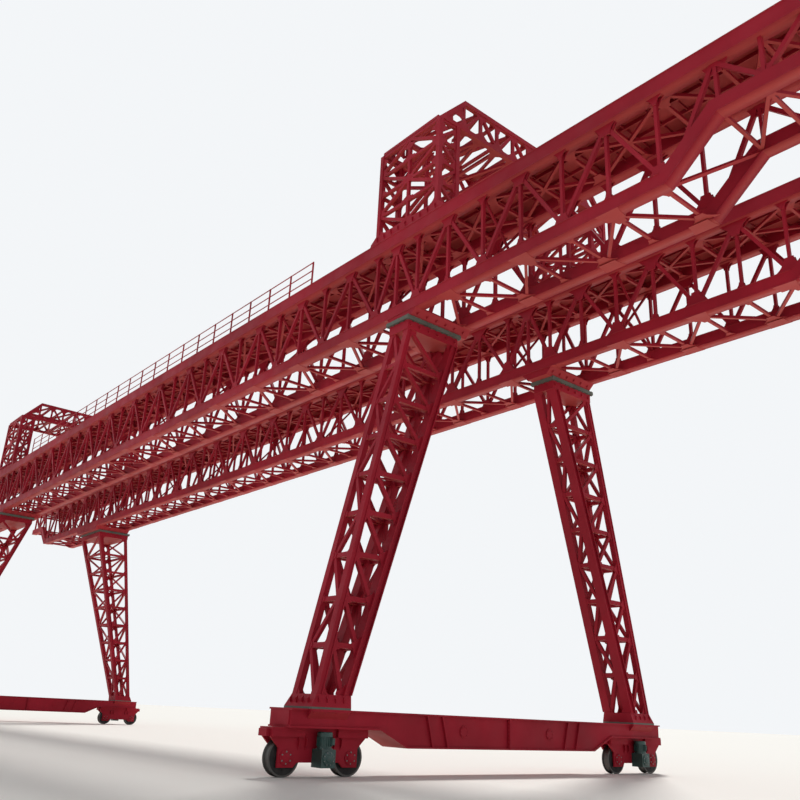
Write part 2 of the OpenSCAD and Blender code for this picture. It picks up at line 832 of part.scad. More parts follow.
module front_top_chords() { color(red) front_side() top_chords(); }
module front_low_chords() { color(red) front_side() low_chords(); }
module front_outer_truss() { color(red) front_side() outer_truss(); }
module front_inner_truss() { color(red) front_side() inner_truss(); }
module front_low_bracing() { color(red) front_side() low_bracing(); }
module front_top_bracing() { color(red) front_side() top_bracing(); }
module front_deck() { color(red) front_side() deck(); }
module rear_top_chords() { color(red) top_chords(); }
module rear_low_chords() { color(red) low_chords(); }
module rear_outer_truss() { color(red) outer_truss(); }
module rear_inner_truss() { color(red) inner_truss(); }
module rear_low_bracing() { color(red) low_bracing(); }
module rear_top_bracing() { color(red) top_bracing(); }
module rear_deck() { color(red) deck(); }
module handrails() { color(red) both_sides() handrail(); }
module trolley_rails() { color(grey) both_sides() trolley_rail(); }

module left_portal_towers() {
    color(red) translate([-station_x, 0, 0]) both_sides() portal_tower();
}
module left_portal_beam() { color(red) translate([-station_x, 0, 0]) portal_beam(); }
module right_portal_towers() {
    color(red) translate([station_x, 0, 0]) both_sides() portal_tower();
}
module right_portal_beam() { color(red) translate([station_x, 0, 0]) portal_beam(); }

module left_front_leg() { color(red) at_leg(-1, true) leg(); }
module left_front_leg_bracing() { color(red) at_leg(-1, true) leg_bracing(); }
module left_rear_leg() { color(red) at_leg(-1, false) leg(); }
module left_rear_leg_bracing() { color(red) at_leg(-1, false) leg_bracing(); }
module right_front_leg() { color(red) at_leg(1, true) leg(); }
module right_front_leg_bracing() { color(red) at_leg(1, true) leg_bracing(); }
module right_rear_leg() { color(red) at_leg(1, false) leg(); }
module right_rear_leg_bracing() { color(red) at_leg(1, false) leg_bracing(); }

module leg_brackets() {
    color(red) for (x = [-1, 1], front = [true, false]) at_leg(x, front) leg_bracket();
}
module leg_joints() {
    color(grey) for (x = [-1, 1], front = [true, false]) at_leg(x, front) leg_joint();
}
module left_sill() { color(red) translate([-station_x, 0, 0]) sill(); }
module right_sill() { color(red) translate([station_x, 0, 0]) sill(); }
module left_front_bogie() { color(red) at_bogie(-1, -1) bogie(); }
module left_rear_bogie() { color(red) at_bogie(-1, 1) bogie(); }
module right_front_bogie() { color(red) at_bogie(1, -1) bogie(); }
module right_rear_bogie() { color(red) at_bogie(1, 1) bogie(); }
module left_front_outer_wheel() { color(dark) placed_wheel(-1, -1, -1); }
module left_front_inner_wheel() { color(dark) placed_wheel(-1, -1, 1); }
module left_rear_inner_wheel() { color(dark) placed_wheel(-1, 1, -1); }
module left_rear_outer_wheel() { color(dark) placed_wheel(-1, 1, 1); }
module right_front_outer_wheel() { color(dark) placed_wheel(1, -1, -1); }
module right_front_inner_wheel() { color(dark) placed_wheel(1, -1, 1); }
module right_rear_inner_wheel() { color(dark) placed_wheel(1, 1, -1); }
module right_rear_outer_wheel() { color(dark) placed_wheel(1, 1, 1); }

module travel_drives() {
    color(green) both_ends() both_sides() translate([station_x, bogie_y, 0]) travel_drive();
}

front_top_chords();
front_low_chords();
front_outer_truss();
front_inner_truss();
front_low_bracing();
front_top_bracing();
front_deck();
rear_top_chords();
rear_low_chords();
rear_outer_truss();
rear_inner_truss();
rear_low_bracing();
rear_top_bracing();
rear_deck();
handrails();
trolley_rails();
left_portal_towers();
left_portal_beam();
right_portal_towers();
right_portal_beam();
left_front_leg();
left_front_leg_bracing();
left_rear_leg();
left_rear_leg_bracing();
right_front_leg();
right_front_leg_bracing();
right_rear_leg();
right_rear_leg_bracing();
leg_brackets();
leg_joints();
left_sill();
right_sill();
left_front_bogie();
left_rear_bogie();
right_front_bogie();
right_rear_bogie();
left_front_outer_wheel();
left_front_inner_wheel();
left_rear_inner_wheel();
left_rear_outer_wheel();
right_front_outer_wheel();
right_front_inner_wheel();
right_rear_inner_wheel();
right_rear_outer_wheel();
travel_drives();
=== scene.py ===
# %% [markdown]
# # A lattice gantry crane, as a 1:2 scale model
# Two long lattice girders lie side by side on four lattice legs. A portal frame stands over each
# pair of legs, and a sill beam on wheeled bogies joins the two feet of each pair. The big welded
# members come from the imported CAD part. This script gives them paint and adds the plates, bolts,
# stiffeners and machinery that make such a crane look built and not drawn.

import json
import math

import bmesh
import bpy
from mathutils import Matrix, Vector


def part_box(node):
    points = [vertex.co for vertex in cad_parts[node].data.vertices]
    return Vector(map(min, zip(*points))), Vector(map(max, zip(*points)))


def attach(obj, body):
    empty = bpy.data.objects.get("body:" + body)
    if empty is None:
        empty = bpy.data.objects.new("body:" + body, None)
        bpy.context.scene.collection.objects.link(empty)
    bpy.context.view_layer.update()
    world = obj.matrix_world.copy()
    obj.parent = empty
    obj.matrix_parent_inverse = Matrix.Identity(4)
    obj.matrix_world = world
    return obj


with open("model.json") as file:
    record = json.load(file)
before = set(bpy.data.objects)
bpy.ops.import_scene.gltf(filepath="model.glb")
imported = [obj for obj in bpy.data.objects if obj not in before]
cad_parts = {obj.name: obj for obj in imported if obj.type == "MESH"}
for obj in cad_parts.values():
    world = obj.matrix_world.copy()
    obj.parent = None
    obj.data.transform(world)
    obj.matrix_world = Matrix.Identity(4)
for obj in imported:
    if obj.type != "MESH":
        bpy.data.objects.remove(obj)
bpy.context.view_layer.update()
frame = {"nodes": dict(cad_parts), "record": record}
scene = bpy.context.scene

# %% [markdown]
# ## The camera
# The viewpoint was found by fitting points of the girders, legs and portals, whose places are
# known on the model, to where they fall in the picture. A camera in Blender looks along its own
# -Z, so its matrix has the picture's right, the picture's up and the backward direction as
# columns.

# %% Set the camera at the picture's viewpoint
camera_place = Vector((20.816, -10.087, 0.785))
picture_right = Vector((0.647257, 0.761036, 0.043399))
picture_up = Vector((0.243279, -0.260192, 0.934406))
picture_back = picture_right.cross(picture_up)
picture_px = 800
focal_px = 832.25
sensor_mm = 36.0

camera_data = bpy.data.cameras.new("camera")
camera_data.sensor_width = sensor_mm
camera_data.lens = focal_px / picture_px * sensor_mm
camera_data.clip_start = 0.1
camera_data.clip_end = 1000.0
camera = bpy.data.objects.new("camera", camera_data)
scene.collection.objects.link(camera)
turn = Matrix((picture_right, picture_up, picture_back)).transposed()
camera.matrix_world = Matrix.Translation(camera_place) @ turn.to_4x4()
scene.camera = camera
print("lens, mm:", round(camera_data.lens, 2))

# %% [markdown]
# ## Floor and light
# A crane this long needs one even light, so that no bar is lost. The soft sun stands high behind
# the crane, as it did outdoors: tops and far edges catch it, the near faces lie in open shade,
# and the warm floor throws light up under the chords. The pale world fills the shade. Rays that
# go straight to the camera, or that glance off metal, see a pale backdrop of its own strength,
# so the background can be white without more light falling on the paint.

# %% Set the world
backdrop_colour = (0.90, 0.92, 0.94)
fill_colour = (0.88, 0.93, 1.0)
fill_strength = 0.45

scene.view_settings.view_transform = "Standard"
world = bpy.data.worlds.new("studio")
scene.world = world
world.use_nodes = True
world_nodes, world_links = world.node_tree.nodes, world.node_tree.links
world_nodes.clear()
fill = world_nodes.new("ShaderNodeBackground")
fill.inputs["Color"].default_value = (*fill_colour, 1)
fill.inputs["Strength"].default_value = fill_strength
backdrop = world_nodes.new("ShaderNodeBackground")
backdrop.inputs["Color"].default_value = (*backdrop_colour, 1)
rays = world_nodes.new("ShaderNodeLightPath")
sees_backdrop = rays.outputs["Is Camera Ray"]
for kind in ("Is Glossy Ray", "Is Transmission Ray"):
    either = world_nodes.new("ShaderNodeMath")
    either.operation = "MAXIMUM"
    world_links.new(sees_backdrop, either.inputs[0])
    world_links.new(rays.outputs[kind], either.inputs[1])
    sees_backdrop = either.outputs[0]
choose = world_nodes.new("ShaderNodeMixShader")
world_out = world_nodes.new("ShaderNodeOutputWorld")
for source, socket in ((sees_backdrop, choose.inputs["Fac"]),
                       (fill.outputs[0], choose.inputs[1]),
                       (backdrop.outputs[0], choose.inputs[2]),
                       (choose.outputs[0], world_out.inputs["Surface"])):
    world_links.new(source, socket)
print("world nodes:", len(world_nodes))

# %% Hang the sun and lay the floor
sun_strength = 2.85
sun_softness = 12.0
sun_from_zenith = 42.0
sun_turn = -140.0
floor_reach = 400.0

sun_data = bpy.data.lights.new("sun", "SUN")
sun_data.energy = sun_strength
sun_data.angle = math.radians(sun_softness)
sun = bpy.data.objects.new("sun", sun_data)
scene.collection.objects.link(sun)
sun.rotation_euler = (math.radians(sun_from_zenith), 0, math.radians(sun_turn))

floor_mesh = bpy.data.meshes.new("floor")
floor_corners = [(x * floor_reach, y * floor_reach, 0)
                 for x, y in ((-1, -1), (1, -1), (1, 1), (-1, 1))]
floor_mesh.from_pydata(floor_corners, [], [(0, 1, 2, 3)])
floor = bpy.data.objects.new("floor", floor_mesh)
scene.collection.objects.link(floor)
print("the sun hangs", sun_from_zenith, "degrees from the zenith")

# %% [markdown]
# ## Helpers for nodes and finishes
# Every finish starts from the Principled shader and reads the object's own coordinates, so a
# pattern stays on the steel when the crane is seen from another side. These few helpers keep
# each finish down to the lines that say how it looks. The first two serve the Geometry Nodes
# trees as well: a socket is linked, and a plain number or colour is written into the input.

# %% Helpers for any node tree
def add_node(tree, kind, inputs=(), **settings):
    node = tree.nodes.new(kind)
    for key, value in settings.items():
        setattr(node, key, value)
    for socket, source in dict(inputs).items():
        if hasattr(source, "links"):
            tree.links.new(source, node.inputs[socket])
        else:
            node.inputs[socket].default_value = source
    return node


def compute(tree, operation, first, second):
    return add_node(tree, "ShaderNodeMath", {0: first, 1: second},
                    operation=operation).outputs[0]


def split_xyz(tree, vector):
    return add_node(tree, "ShaderNodeSeparateXYZ", {"Vector": vector}).outputs


print("node helpers are ready")

# %% Helpers for finishes
def start_finish(name, metallic=0.0, coat=0.0, shine=0.5):
    material = bpy.data.materials.new(name)
    material.use_nodes = True
    tree = material.node_tree
    shader = tree.nodes["Principled BSDF"]
    shader.inputs["Metallic"].default_value = metallic
    shader.inputs["Coat Weight"].default_value = coat
    shader.inputs["Specular IOR Level"].default_value = shine
    place = tree.nodes.new("ShaderNodeTexCoord").outputs["Object"]
    return material, tree, place


def noise(tree, place, scale, detail, stretch=(1, 1, 1)):
    mapping = add_node(tree, "ShaderNodeMapping", {"Vector": place, "Scale": stretch})
    return add_node(tree, "ShaderNodeTexNoise", {
        "Vector": mapping.outputs["Vector"], "Scale": scale, "Detail": detail}).outputs["Fac"]


print("pattern helpers are ready")

# %% Helpers for colour and gloss
def ramp(tree, value, low, high, colour_low, colour_high):
    node = add_node(tree, "ShaderNodeValToRGB", {"Fac": value})
    first, last = node.color_ramp.elements
    first.position, last.position = low, high
    first.color, last.color = (*colour_low, 1), (*colour_high, 1)
    return node.outputs["Color"]


def grade(tree, value, low, high, out_low, out_high):
    inputs = dict(enumerate((value, low, high, out_low, out_high)))
    return add_node(tree, "ShaderNodeMapRange", inputs).outputs["Result"]


def blend_colour(tree, factor, base, over):
    """Mix a colour over another. The colour inputs of this node have the numbers 6 and 7."""
    return add_node(tree, "ShaderNodeMix", {0: factor, 6: base, 7: (*over, 1)},
                    data_type="RGBA").outputs[2]


def end_finish(material, colour, gloss, height, strength, depth):
    tree = material.node_tree
    shader = tree.nodes["Principled BSDF"]
    relief = add_node(tree, "ShaderNodeBump", {
        "Height": height, "Strength": strength, "Distance": depth}).outputs["Normal"]
    for title, source in (("Base Color", colour), ("Roughness", gloss), ("Normal", relief)):
        tree.links.new(source, shader.inputs[title])
    return material


print("colour helpers are ready")

# %% [markdown]
# ## Red crane paint
# The real paint is a satin red, rolled and sprayed on welded plate. It is a little darker in
# broad cloudy patches, runs in faint upright streaks, and gathers pale dust where a face looks
# up. Faces that look down get painted bounce light: a paler orange-red that stands in for the
# warm light thrown up from the floor. The shader finds both from the upward part of the face's
# direction. Plate is never quite flat either, which a very shallow, broad bump gives.

# %% Mix the red paint
red_deep = (0.290, 0.010, 0.022)
red_bright = (0.415, 0.015, 0.033)
# Painted bounce light: the paler orange-red that downward faces take on, as if lit from the floor.
dust_colour = (0.46, 0.25, 0.21)
painted_bounce_colour = (0.60, 0.13, 0.09)
upright_stretch = (7, 7, 0.6)


def make_red_paint():
    material, tree, place = start_finish("red_crane_paint", shine=0.15)
    colour = ramp(tree, noise(tree, place, 0.7, 5), 0.36, 0.66, red_deep, red_bright)
    streak = noise(tree, place, 1.0, 4, upright_stretch)
    colour = blend_colour(tree, grade(tree, streak, 0.52, 0.75, 0.0, 0.35), colour, red_deep)
    normal = tree.nodes.new("ShaderNodeNewGeometry").outputs["Normal"]
    facing_up = split_xyz(tree, normal)["Z"]
    upward = grade(tree, facing_up, 0.55, 0.95, 0.0, 0.3)
    patches = grade(tree, noise(tree, place, 2.5, 6), 0.35, 0.7, 0.25, 1.0)
    dusty = compute(tree, "MULTIPLY", upward, patches)
    colour = blend_colour(tree, dusty, colour, dust_colour)
    # Painted bounce light: faces that look down are blended towards the paler orange-red.
    painted_bounce_mask = grade(tree, facing_up, -0.95, -0.55, 0.38, 0.0)
    colour = blend_colour(tree, painted_bounce_mask, colour, painted_bounce_colour)
    gloss = grade(tree, noise(tree, place, 3.0, 4), 0.3, 0.7, 0.46, 0.64)
    return end_finish(material, colour, gloss, noise(tree, place, 9.0, 5), 0.25, 0.004)


red_paint = make_red_paint()
print("red paint is mixed")

# %% [markdown]
# ## The other finishes
# The joint flanges were left in a grey-green primer, so that they bolt up tight. Rails are
# rolled steel, brown at the foot and bright where wheels run. Wheels are dark forged steel with
# a worn tread, so their brightness depends on the distance from the axle. Motors wear a dark
# green machine enamel, and small bolts are dull zinc. The floor is an enamel too, but without
# the clear coat, which would mirror the sun.

# %% Mix primer, rail steel, enamel and zinc
def make_primer():
    material, tree, place = start_finish("grey_green_primer")
    cloud = noise(tree, place, 3.0, 6)
    colour = ramp(tree, cloud, 0.35, 0.7, (0.070, 0.084, 0.068), (0.135, 0.148, 0.120))
    scuff = grade(tree, noise(tree, place, 14.0, 8), 0.56, 0.66, 0.0, 0.5)
    colour = blend_colour(tree, scuff, colour, (0.15, 0.085, 0.06))
    gloss = grade(tree, cloud, 0.3, 0.7, 0.5, 0.75)
    return end_finish(material, colour, gloss, noise(tree, place, 30.0, 4), 0.15, 0.002)


def make_rail_steel(head_level):
    material, tree, place = start_finish("rail_steel", metallic=0.85)
    brown = ramp(tree, noise(tree, place, 6.0, 6), 0.3, 0.7, (0.09, 0.05, 0.035),
                 (0.19, 0.12, 0.08))
    height = split_xyz(tree, place)["Z"]
    head = grade(tree, height, head_level - 0.006, head_level - 0.001, 0.0, 1.0)
    colour = blend_colour(tree, head, brown, (0.55, 0.54, 0.52))
    gloss = grade(tree, head, 0.0, 1.0, 0.7, 0.28)
    return end_finish(material, colour, gloss, noise(tree, place, 25.0, 5), 0.2, 0.001)


def make_enamel(name, deep, bright, gloss_low, gloss_high, coat=0.1):
    material, tree, place = start_finish(name, coat=coat)
    cloud = noise(tree, place, 5.0, 5)
    colour = ramp(tree, cloud, 0.35, 0.68, deep, bright)
    gloss = grade(tree, cloud, 0.3, 0.7, gloss_low, gloss_high)
    return end_finish(material, colour, gloss, noise(tree, place, 40.0, 4), 0.2, 0.0015)


floor_colour = (0.80, 0.765, 0.70)
primer = make_primer()
rail_steel = make_rail_steel(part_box("trolley_rails")[1].z)
green_enamel = make_enamel("dark_green_enamel", (0.016, 0.052, 0.045), (0.028, 0.082, 0.070),
                           0.35, 0.5)
bolt_zinc = make_enamel("dull_zinc", (0.19, 0.19, 0.18), (0.31, 0.31, 0.29), 0.4, 0.6)
floor_paint = make_enamel("pale_floor", floor_colour, floor_colour, 0.85, 0.9, coat=0.0)
print("five more finishes are mixed")

# %% Mix the wheel steel
def make_wheel_steel(axle, tread_radius):
    material, tree, place = start_finish("wheel_steel", metallic=0.75)
    from_axle = add_node(tree, "ShaderNodeVectorMath", {0: place, 1: axle},
                         operation="SUBTRACT")
    across = add_node(tree, "ShaderNodeVectorMath", {0: from_axle.outputs["Vector"],
                                                     1: (0, 1, 1)}, operation="MULTIPLY")
    radius = add_node(tree, "ShaderNodeVectorMath", {0: across.outputs["Vector"]},
                      operation="LENGTH").outputs["Value"]
    dark = ramp(tree, noise(tree, place, 12.0, 5), 0.3, 0.7, (0.020, 0.019, 0.020),
                (0.050, 0.046, 0.044))
    worn = grade(tree, radius, tread_radius - 0.006, tread_radius - 0.001, 0.0, 0.8)
    colour = blend_colour(tree, worn, dark, (0.11, 0.104, 0.098))
    gloss = grade(tree, worn, 0.0, 1.0, 0.62, 0.46)
    return end_finish(material, colour, gloss, noise(tree, place, 60.0, 4), 0.2, 0.001)


wheel_flange = 0.020
wheel_axle = {}
wheel_finish = {}
for name in frame["nodes"]:
    if name.endswith("_wheel"):
        low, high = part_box(name)
        wheel_axle[name] = (low + high) / 2
        tread = (high.z - low.z) / 2 - wheel_flange
        wheel_finish[name] = make_wheel_steel(wheel_axle[name], tread)
print("wheel steel for", len(wheel_finish), "wheels")

# %% Give every CAD node its finish
finish_of_slot = {"red_paint": red_paint, "bare_flange": primer, "rail_steel": rail_steel,
                  "drive_green": green_enamel}
for part in frame["record"]["subparts"]:
    name = part["node"]
    finish = wheel_finish.get(name) or finish_of_slot[part["material_slot"]]
    for socket in frame["nodes"][name].material_slots:
        socket.material = finish
floor_mesh.materials.append(floor_paint)

# %% [markdown]
# ## Where things are on the crane
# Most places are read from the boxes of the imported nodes. The rhythm of the lattice can't be
# read from a box, so the few numbers that set it are named here, in metres: the pitch of the
# joints, the apex distances over the legs and the levels of the chords.

# %% Name the places of the lattice
panel = 1.6
station_x = 11.2825
arm_len = 4.95
arm_panels = 2
leg_apex = {1: 1.015, -1: 0.965}
leg_upright = {1: 0.27, -1: 0.32}
span_panels = 13
nose_run = 0.74
nose_rise = 0.64
kink_cut = 0.0727
chord_w = 0.18
low_chord_h = 0.195
upright_w = 0.046
web_t = 0.055
bar_w = 0.046

low_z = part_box("front_low_chords")[0].z
web_low = low_z + low_chord_h
web_top, top_z = (corner.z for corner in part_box("front_top_chords"))
inner_y, outer_y = (corner.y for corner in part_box("rear_top_chords"))
brace_in = inner_y + chord_w
brace_out = outer_y - chord_w
end_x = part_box("front_deck")[1].x
kink_x = station_x + arm_len
nose_x = kink_x + nose_run
arm_end = arm_len - kink_cut - upright_w / 2
arm_steps = 2 * arm_panels + 1


def arm_joint(i, apex):
    return apex + i * (arm_end - apex) / arm_steps


joints = [-station_x - arm_joint(i, leg_apex[-1]) for i in range(arm_steps, -1, -1)]
joints += [-station_x - leg_upright[-1], -station_x + leg_upright[-1]]
joints += [-station_x + leg_apex[-1] + i * panel / 2 for i in range(2 * span_panels + 1)]
joints += [station_x - leg_upright[1], station_x + leg_upright[1]]
joints += [station_x + arm_joint(i, leg_apex[1]) for i in range(arm_steps + 1)]
low_joints, high_joints = joints[0::2], joints[1::2]
print("lattice joints:", len(joints), "from", round(joints[0], 3), "to", round(joints[-1], 3))

# %% [markdown]
# ## A tree that sets copies on points
# A crane like this carries thousands of like pieces: bolts, gussets, stiffeners and clips. Each
# kind is drawn once and set on a cloud of points. A point says where its copy goes, which way
# the copy's top faces and which way its own X runs. Geometry Nodes turns those two directions
# into a rotation. The tree ends in Realize Instances and Set Material, because the export keeps
# plain meshes only, and the finished mesh replaces the modifier.

# %% Helpers that start and end a tree
def start_tree(name, sizes):
    tree = bpy.data.node_groups.new(name, "GeometryNodeTree")
    tree.interface.new_socket("Places", in_out="INPUT", socket_type="NodeSocketGeometry")
    for title, value in sizes.items():
        socket = tree.interface.new_socket(title, in_out="INPUT",
                                           socket_type="NodeSocketFloat")
        socket.default_value = value
    tree.interface.new_socket("Finish", in_out="INPUT", socket_type="NodeSocketMaterial")
    tree.interface.new_socket("Copies", in_out="OUTPUT", socket_type="NodeSocketGeometry")
    return tree, tree.nodes.new("NodeGroupInput").outputs


def end_tree(tree, inputs, shape):
    plain = add_node(tree, "GeometryNodeRealizeInstances", {"Geometry": shape})
    painted = add_node(tree, "GeometryNodeSetMaterial", {
        "Geometry": plain.outputs[0], "Material": inputs["Finish"]})
    add_node(tree, "NodeGroupOutput", {0: painted.outputs[0]})
    print(tree.name, "tree nodes:", len(tree.nodes))


def put_on_points(tree, inputs, shape):
    facing, along = (add_node(tree, "GeometryNodeInputNamedAttribute", {"Name": name},
                              data_type="FLOAT_VECTOR").outputs[0]
                     for name in ("facing", "along"))
    turned = add_node(tree, "FunctionNodeAxesToRotation", {0: facing, 1: along},
                      primary_axis="Z", secondary_axis="X")
    copies = add_node(tree, "GeometryNodeInstanceOnPoints", {
        "Points": inputs["Places"], "Instance": shape, "Rotation": turned.outputs[0]})
    return copies.outputs[0]


print("tree helpers are ready")

# %% Helpers that make pieces from places
added_faces = {}


def run_tree(tree, name, mesh, finish, sizes):
    carrier = bpy.data.objects.new(name, mesh)
    scene.collection.objects.link(carrier)
    modifier = carrier.modifiers.new("copies", "NODES")
    modifier.node_group = tree
    for item in tree.interface.items_tree:
        if item.name in sizes:
            modifier[item.identifier] = float(sizes[item.name])
        elif item.name == "Finish":
            modifier[item.identifier] = finish
    graph = bpy.context.evaluated_depsgraph_get()
    result = bpy.data.meshes.new_from_object(carrier.evaluated_get(graph), depsgraph=graph)
    carrier.modifiers.clear()
    carrier.data = result
    return carrier


def settle(piece, body):
    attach(piece, body)
    added_faces[piece.name] = sum(len(face.vertices) - 2 for face in piece.data.polygons)
    print(piece.name, "triangles:", added_faces[piece.name])


def set_copies(tree, name, places, sizes, finish=red_paint, slot="red_paint", body="root"):
    mesh = bpy.data.meshes.new(name)
    mesh.from_pydata([place for place, facing, along in places], [], [])
    for title, column in (("facing", 1), ("along", 2)):
        layer = mesh.attributes.new(title, "FLOAT_VECTOR", "POINT")
        for item, row in zip(layer.data, places):
            item.vector = row[column]
    settle(run_tree(tree, name, mesh, finish, sizes), body)


print("piece helpers are ready")

# %% [markdown]
# ## Gusset plates
# Where bars meet a chord, the real crane has a flat plate welded to the chord, with its free
# sides cut in a hollow curve. That curve is what makes the openings of the lattice look
# rounded. The plate is a flat box of a few slices whose length shrinks towards the free edge,
# by the square of the distance. The same tree makes stiffeners, fins, clips and shoes when its
# plate is drawn thick and straight.

# %% Build the gusset tree
gusset_tree, inputs = start_tree("gusset_plates", {
    "Reach": 0.15, "Length": 0.33, "Thickness": 0.01, "Free Length": 0.1})
reach, length, thickness, free_length = (
    inputs[title] for title in ("Reach", "Length", "Thickness", "Free Length"))
size = add_node(gusset_tree, "ShaderNodeCombineXYZ", {0: reach, 1: length, 2: thickness})
blank = add_node(gusset_tree, "GeometryNodeMeshCube", {
    "Size": size.outputs[0], "Vertices X": 4, "Vertices Y": 2, "Vertices Z": 2})
place = split_xyz(gusset_tree, gusset_tree.nodes.new("GeometryNodeInputPosition").outputs[0])
away = compute(gusset_tree, "DIVIDE", place["X"], reach)
away = compute(gusset_tree, "ADD", away, 0.5)
near = compute(gusset_tree, "SUBTRACT", 1.0, away)
hollow = compute(gusset_tree, "MULTIPLY", near, near)
free = compute(gusset_tree, "DIVIDE", free_length, length)
rest = compute(gusset_tree, "SUBTRACT", 1.0, free)
narrow = compute(gusset_tree, "ADD", free, compute(gusset_tree, "MULTIPLY", rest, hollow))
moved = add_node(gusset_tree, "ShaderNodeCombineXYZ", {
    0: compute(gusset_tree, "MULTIPLY", away, reach),
    1: compute(gusset_tree, "MULTIPLY", place["Y"], narrow), 2: place["Z"]})
plate = add_node(gusset_tree, "GeometryNodeSetPosition", {
    "Geometry": blank.outputs["Mesh"], "Position": moved.outputs[0]})
end_tree(gusset_tree, inputs, put_on_points(gusset_tree, inputs, plate.outputs[0]))

thin = 0.010


def weld_plates(name, places, reach, length, free_length, thickness=thin, **ways):
    set_copies(gusset_tree, name, places, {
        "Reach": reach, "Length": length, "Free Length": free_length,
        "Thickness": thickness}, **ways)


# %% [markdown]
# ## Bolts
# A bolt head is a hexagon on a round washer. Thousands of them show, so each has as few faces
# as its shape allows. The point lies on the plate, and the head stands up from it.

# %% Build the bolt tree
bolt_tree, inputs = start_tree("bolts", {
    "Head Width": 0.03, "Head Height": 0.012, "Washer Width": 0.038, "Washer Height": 0.003})
washer_sides = 8
head_sides = 6


def disc(tree, corners, width, low, height):
    round_bar = add_node(tree, "GeometryNodeMeshCylinder", {
        "Vertices": corners, "Radius": compute(tree, "MULTIPLY", width, 0.5), "Depth": height})
    middle = compute(tree, "ADD", low, compute(tree, "MULTIPLY", height, 0.5))
    lift = add_node(tree, "ShaderNodeCombineXYZ", {"Z": middle})
    return add_node(tree, "GeometryNodeTransform", {
        "Geometry": round_bar.outputs["Mesh"], "Translation": lift.outputs[0]}).outputs[0]


washer = disc(bolt_tree, washer_sides, inputs["Washer Width"], 0.0, inputs["Washer Height"])
head = disc(bolt_tree, head_sides, inputs["Head Width"], inputs["Washer Height"],
            inputs["Head Height"])
both = bolt_tree.nodes.new("GeometryNodeJoinGeometry")
bolt_tree.links.new(washer, both.inputs[0])
bolt_tree.links.new(head, both.inputs[0])
end_tree(bolt_tree, inputs, put_on_points(bolt_tree, inputs, both.outputs[0]))


def fit_bolts(name, places, head, washer, **ways):
    """Bolts on places. Head and washer are each a width and a height."""
    set_copies(bolt_tree, name, places, {
        "Head Width": head[0], "Head Height": head[1], "Washer Width": washer[0],
        "Washer Height": washer[1]}, **ways)


# %% [markdown]
# ## Bars between two places
# Sway frames, joists and lips are straight bars. Each one is an edge of a wire mesh, and the
# tree draws a flat profile along every edge.

# %% Build the bar tree
bar_tree, inputs = start_tree("bars", {"Width": 0.04, "Height": 0.04})
line = add_node(bar_tree, "GeometryNodeMeshToCurve", {"Mesh": inputs["Places"]})
profile = add_node(bar_tree, "GeometryNodeCurvePrimitiveQuadrilateral", {
    "Width": inputs["Width"], "Height": inputs["Height"]})
upright = add_node(bar_tree, "GeometryNodeSetCurveNormal", {"Curve": line.outputs[0]},
                   mode="Z_UP")
swept = add_node(bar_tree, "GeometryNodeCurveToMesh", {
    "Curve": upright.outputs[0], "Profile Curve": profile.outputs[0], "Fill Caps": True})
end_tree(bar_tree, inputs, swept.outputs[0])


def set_bars(name, bars, width, height):
    mesh = bpy.data.meshes.new(name)
    ends = [end for bar in bars for end in bar]
    mesh.from_pydata(ends, [(2 * i, 2 * i + 1) for i in range(len(bars))], [])
    sizes = {"Width": width, "Height": height}
    settle(run_tree(bar_tree, name, mesh, red_paint, sizes), "root")


# %% [markdown]
# ## Both sides, both ends
# The crane is the same in front and behind, and nearly the same at its two ends. So most places
# are worked out once and repeated with the signs of these pairs and triples. More helpers
# space things evenly: about zero, between two values, or round an axis.

# %% Helpers that repeat places
sides = (-1, 1)
pairs = [(a, b) for a in sides for b in sides]
triples = [(a, b, c) for a, b in pairs for c in sides]


def direction(*numbers):
    return Vector(numbers).normalized()


def centred(count, pitch):
    return [(i - (count - 1) / 2) * pitch for i in range(count)]


def spread(low, high, count):
    return [low + (high - low) * i / (count - 1) for i in range(count)]


def bolt_circle(centre, way, lift, radius, count, shift=0):
    """Places of bolts round an axis along X. A shift of 1 turns them by half a step."""
    angles = [math.pi * (2 * i + shift) / count for i in range(count)]
    return [(centre + Vector((way * lift, radius * math.cos(a), radius * math.sin(a))),
             (way, 0, 0), (0, 1, 0)) for a in angles]


print("quarters of the crane:", len(pairs))

# %% [markdown]
# ## Gussets, laps and lips of the girders
# The outer side trusses have small plates at their joints. The inner side trusses carry the
# trolley rail, so their bars end in big hollow-sided plates on both faces. Flat plates tie the
# bracing to the chords below and above. A chord is a welded box whose top and bottom plates
# stand a little proud of its sides, and those lips draw the fine lines along it.

# %% Weld the gussets of the side trusses
sunk = 0.004
outer_plane = outer_y - chord_w / 2
inner_plane = inner_y + chord_w / 2


def truss_gussets(plane, at_low, at_high):
    places = []
    for side, face in pairs:
        y = side * plane + face * (web_t + thin) / 2
        places += [((x, y, web_low - sunk), (0, face, 0), (0, 0, 1)) for x in at_low]
        places += [((x, y, web_top + sunk), (0, face, 0), (0, 0, -1)) for x in at_high]
    return places


weld_plates("outer_truss_gussets", truss_gussets(outer_plane, low_joints, high_joints),
            reach=0.17, length=0.34, free_length=0.16)
weld_plates("inner_truss_gussets", truss_gussets(inner_plane, low_joints, high_joints),
            reach=0.25, length=0.52, free_length=0.14)
weld_plates("upright_gussets", truss_gussets(inner_plane, high_joints, low_joints)
            + truss_gussets(outer_plane, high_joints, low_joints),
            reach=0.13, length=0.24, free_length=0.06)

# %% Weld the gussets of the bracing
under_low = low_z + bar_w / 2 - thin / 2
under_top = web_top + bar_w / 2 - thin / 2


def bracing_gussets(level, at_inner, at_outer):
    places = []
    for side in sides:
        for y, inward, at_joints in ((brace_in - sunk, 1, at_inner),
                                     (brace_out + sunk, -1, at_outer)):
            places += [((x, side * y, level), (0, 0, 1), (0, side * inward, 0))
                       for x in at_joints]
    return places


